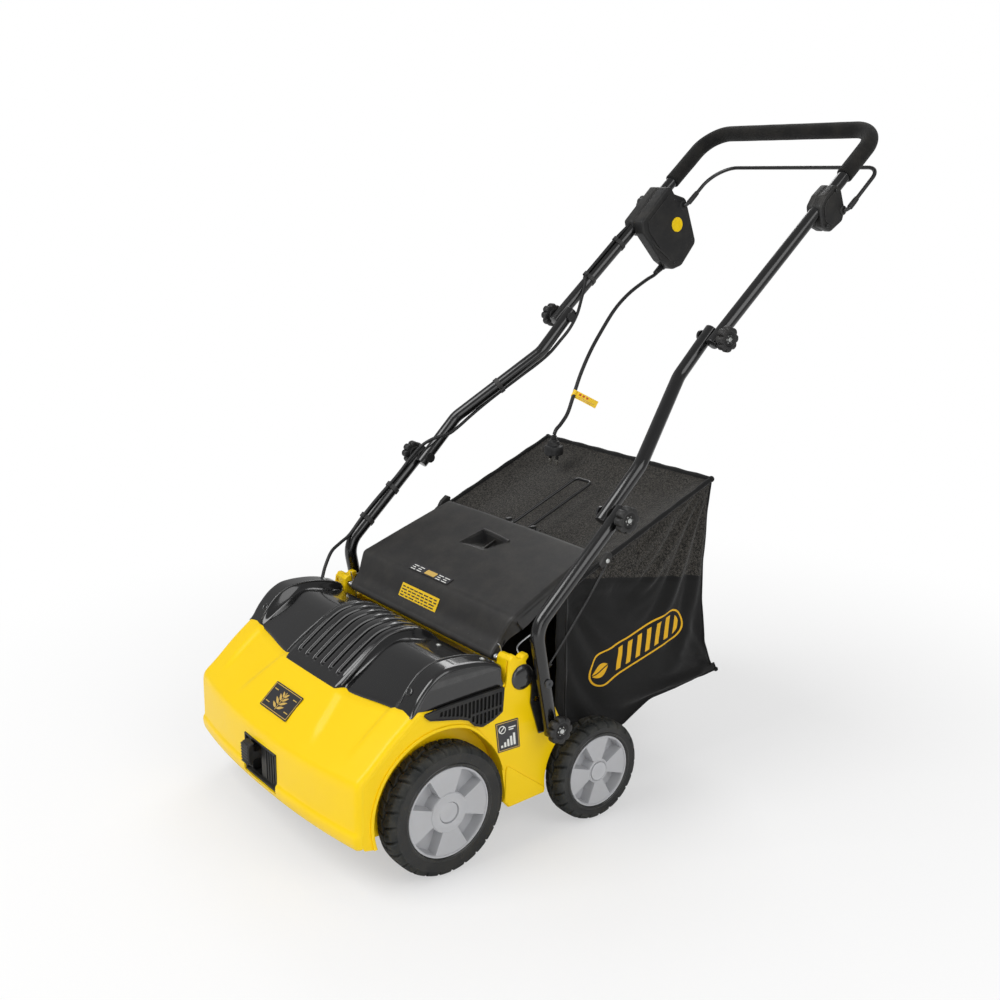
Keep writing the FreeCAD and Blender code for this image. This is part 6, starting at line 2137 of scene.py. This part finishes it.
def area_light(name, location, target, size, power):
    data = bpy.data.lights.new(name, "AREA")
    data.energy = power
    data.color = (1, 1, 1)
    data.shape = "RECTANGLE"
    data.size = size
    data.size_y = size
    light = bpy.data.objects.new(name, data)
    light.location = location
    aim = Vector(target) - Vector(location)
    light.rotation_euler = aim.to_track_quat("-Z", "Y").to_euler()
    scene.collection.objects.link(light)


def add_world():
    """White for the camera, a softer sky for everything the object reflects."""
    world = bpy.data.worlds.new("world")
    scene.world = world
    world.use_nodes = True
    nodes, links = world.node_tree.nodes, world.node_tree.links
    sky = nodes["Background"]
    backdrop = nodes.new("ShaderNodeBackground")
    for background, strength in ((sky, 0.34), (backdrop, 1.0)):
        background.inputs[0].default_value = (1, 1, 1, 1)
        background.inputs[1].default_value = strength
    ray = nodes.new("ShaderNodeLightPath")
    mix = nodes.new("ShaderNodeMixShader")
    links.new(ray.outputs["Is Camera Ray"], mix.inputs[0])
    links.new(sky.outputs[0], mix.inputs[1])
    links.new(backdrop.outputs[0], mix.inputs[2])
    links.new(mix.outputs[0], nodes["World Output"].inputs[0])


def floor_material():
    """Seen by the camera the floor fades to plain white away from the object."""
    tree = Tree("floor_white")
    tree.principled({"Base Color": (0.93, 0.93, 0.93, 1), "Roughness": 0.6,
                     "Specular IOR Level": 0.15})
    distance = tree.new("VectorMath")
    distance.operation = "LENGTH"
    tree.feed(distance.inputs[0], tree.new("NewGeometry").outputs["Position"])
    fade = tree.new("MapRange")
    fade.interpolation_type = "SMOOTHSTEP"
    for name, value in (("From Min", 0.4), ("From Max", 1.45), ("To Min", 0.48), ("To Max", 1.0)):
        fade.inputs[name].default_value = value
    tree.feed(fade.inputs["Value"], distance.outputs["Value"])
    ray = tree.new("LightPath")
    white = tree.new("Emission")
    white.inputs[0].default_value = (1, 1, 1, 1)
    mix = tree.new("MixShader")
    output = [node for node in tree.nodes if node.type == "OUTPUT_MATERIAL"][0]
    tree.feed(mix.inputs[0], tree.mul(fade.outputs["Result"], ray.outputs["Is Camera Ray"]))
    tree.feed(mix.inputs[1], tree.nodes["Principled BSDF"].outputs[0])
    tree.feed(mix.inputs[2], white.outputs[0])
    tree.feed(output.inputs[0], mix.outputs[0])
    return tree.material


def add_floor():
    mesh = bpy.data.meshes.new("floor")
    mesh.from_pydata([(-12, -12, 0), (12, -12, 0), (12, 12, 0), (-12, 12, 0)], [],
                     [(0, 1, 2, 3)])
    mesh.materials.append(floor_material())
    floor = bpy.data.objects.new("floor", mesh)
    scene.collection.objects.link(floor)


add_camera()
area_light("key", (-0.6, -2.6, 3.0), target=(0, 0, 0.3), size=2.2, power=76)
area_light("fill", (3.2, 0.2, 2.4), target=(0, 0, 0.3), size=2.4, power=38)
area_light("rim", (-2.2, 2.2, 2.6), target=(0, 0.1, 0.4), size=2.0, power=36)
area_light("low", (2.6, -1.6, 0.8), target=(0, 0, 0.25), size=1.6, power=12)
add_world()
add_floor()
scene.view_settings.view_transform = "Standard"
scene.view_settings.look = "None"
scene.view_settings.exposure = 0.0

bpy.context.view_layer.update()
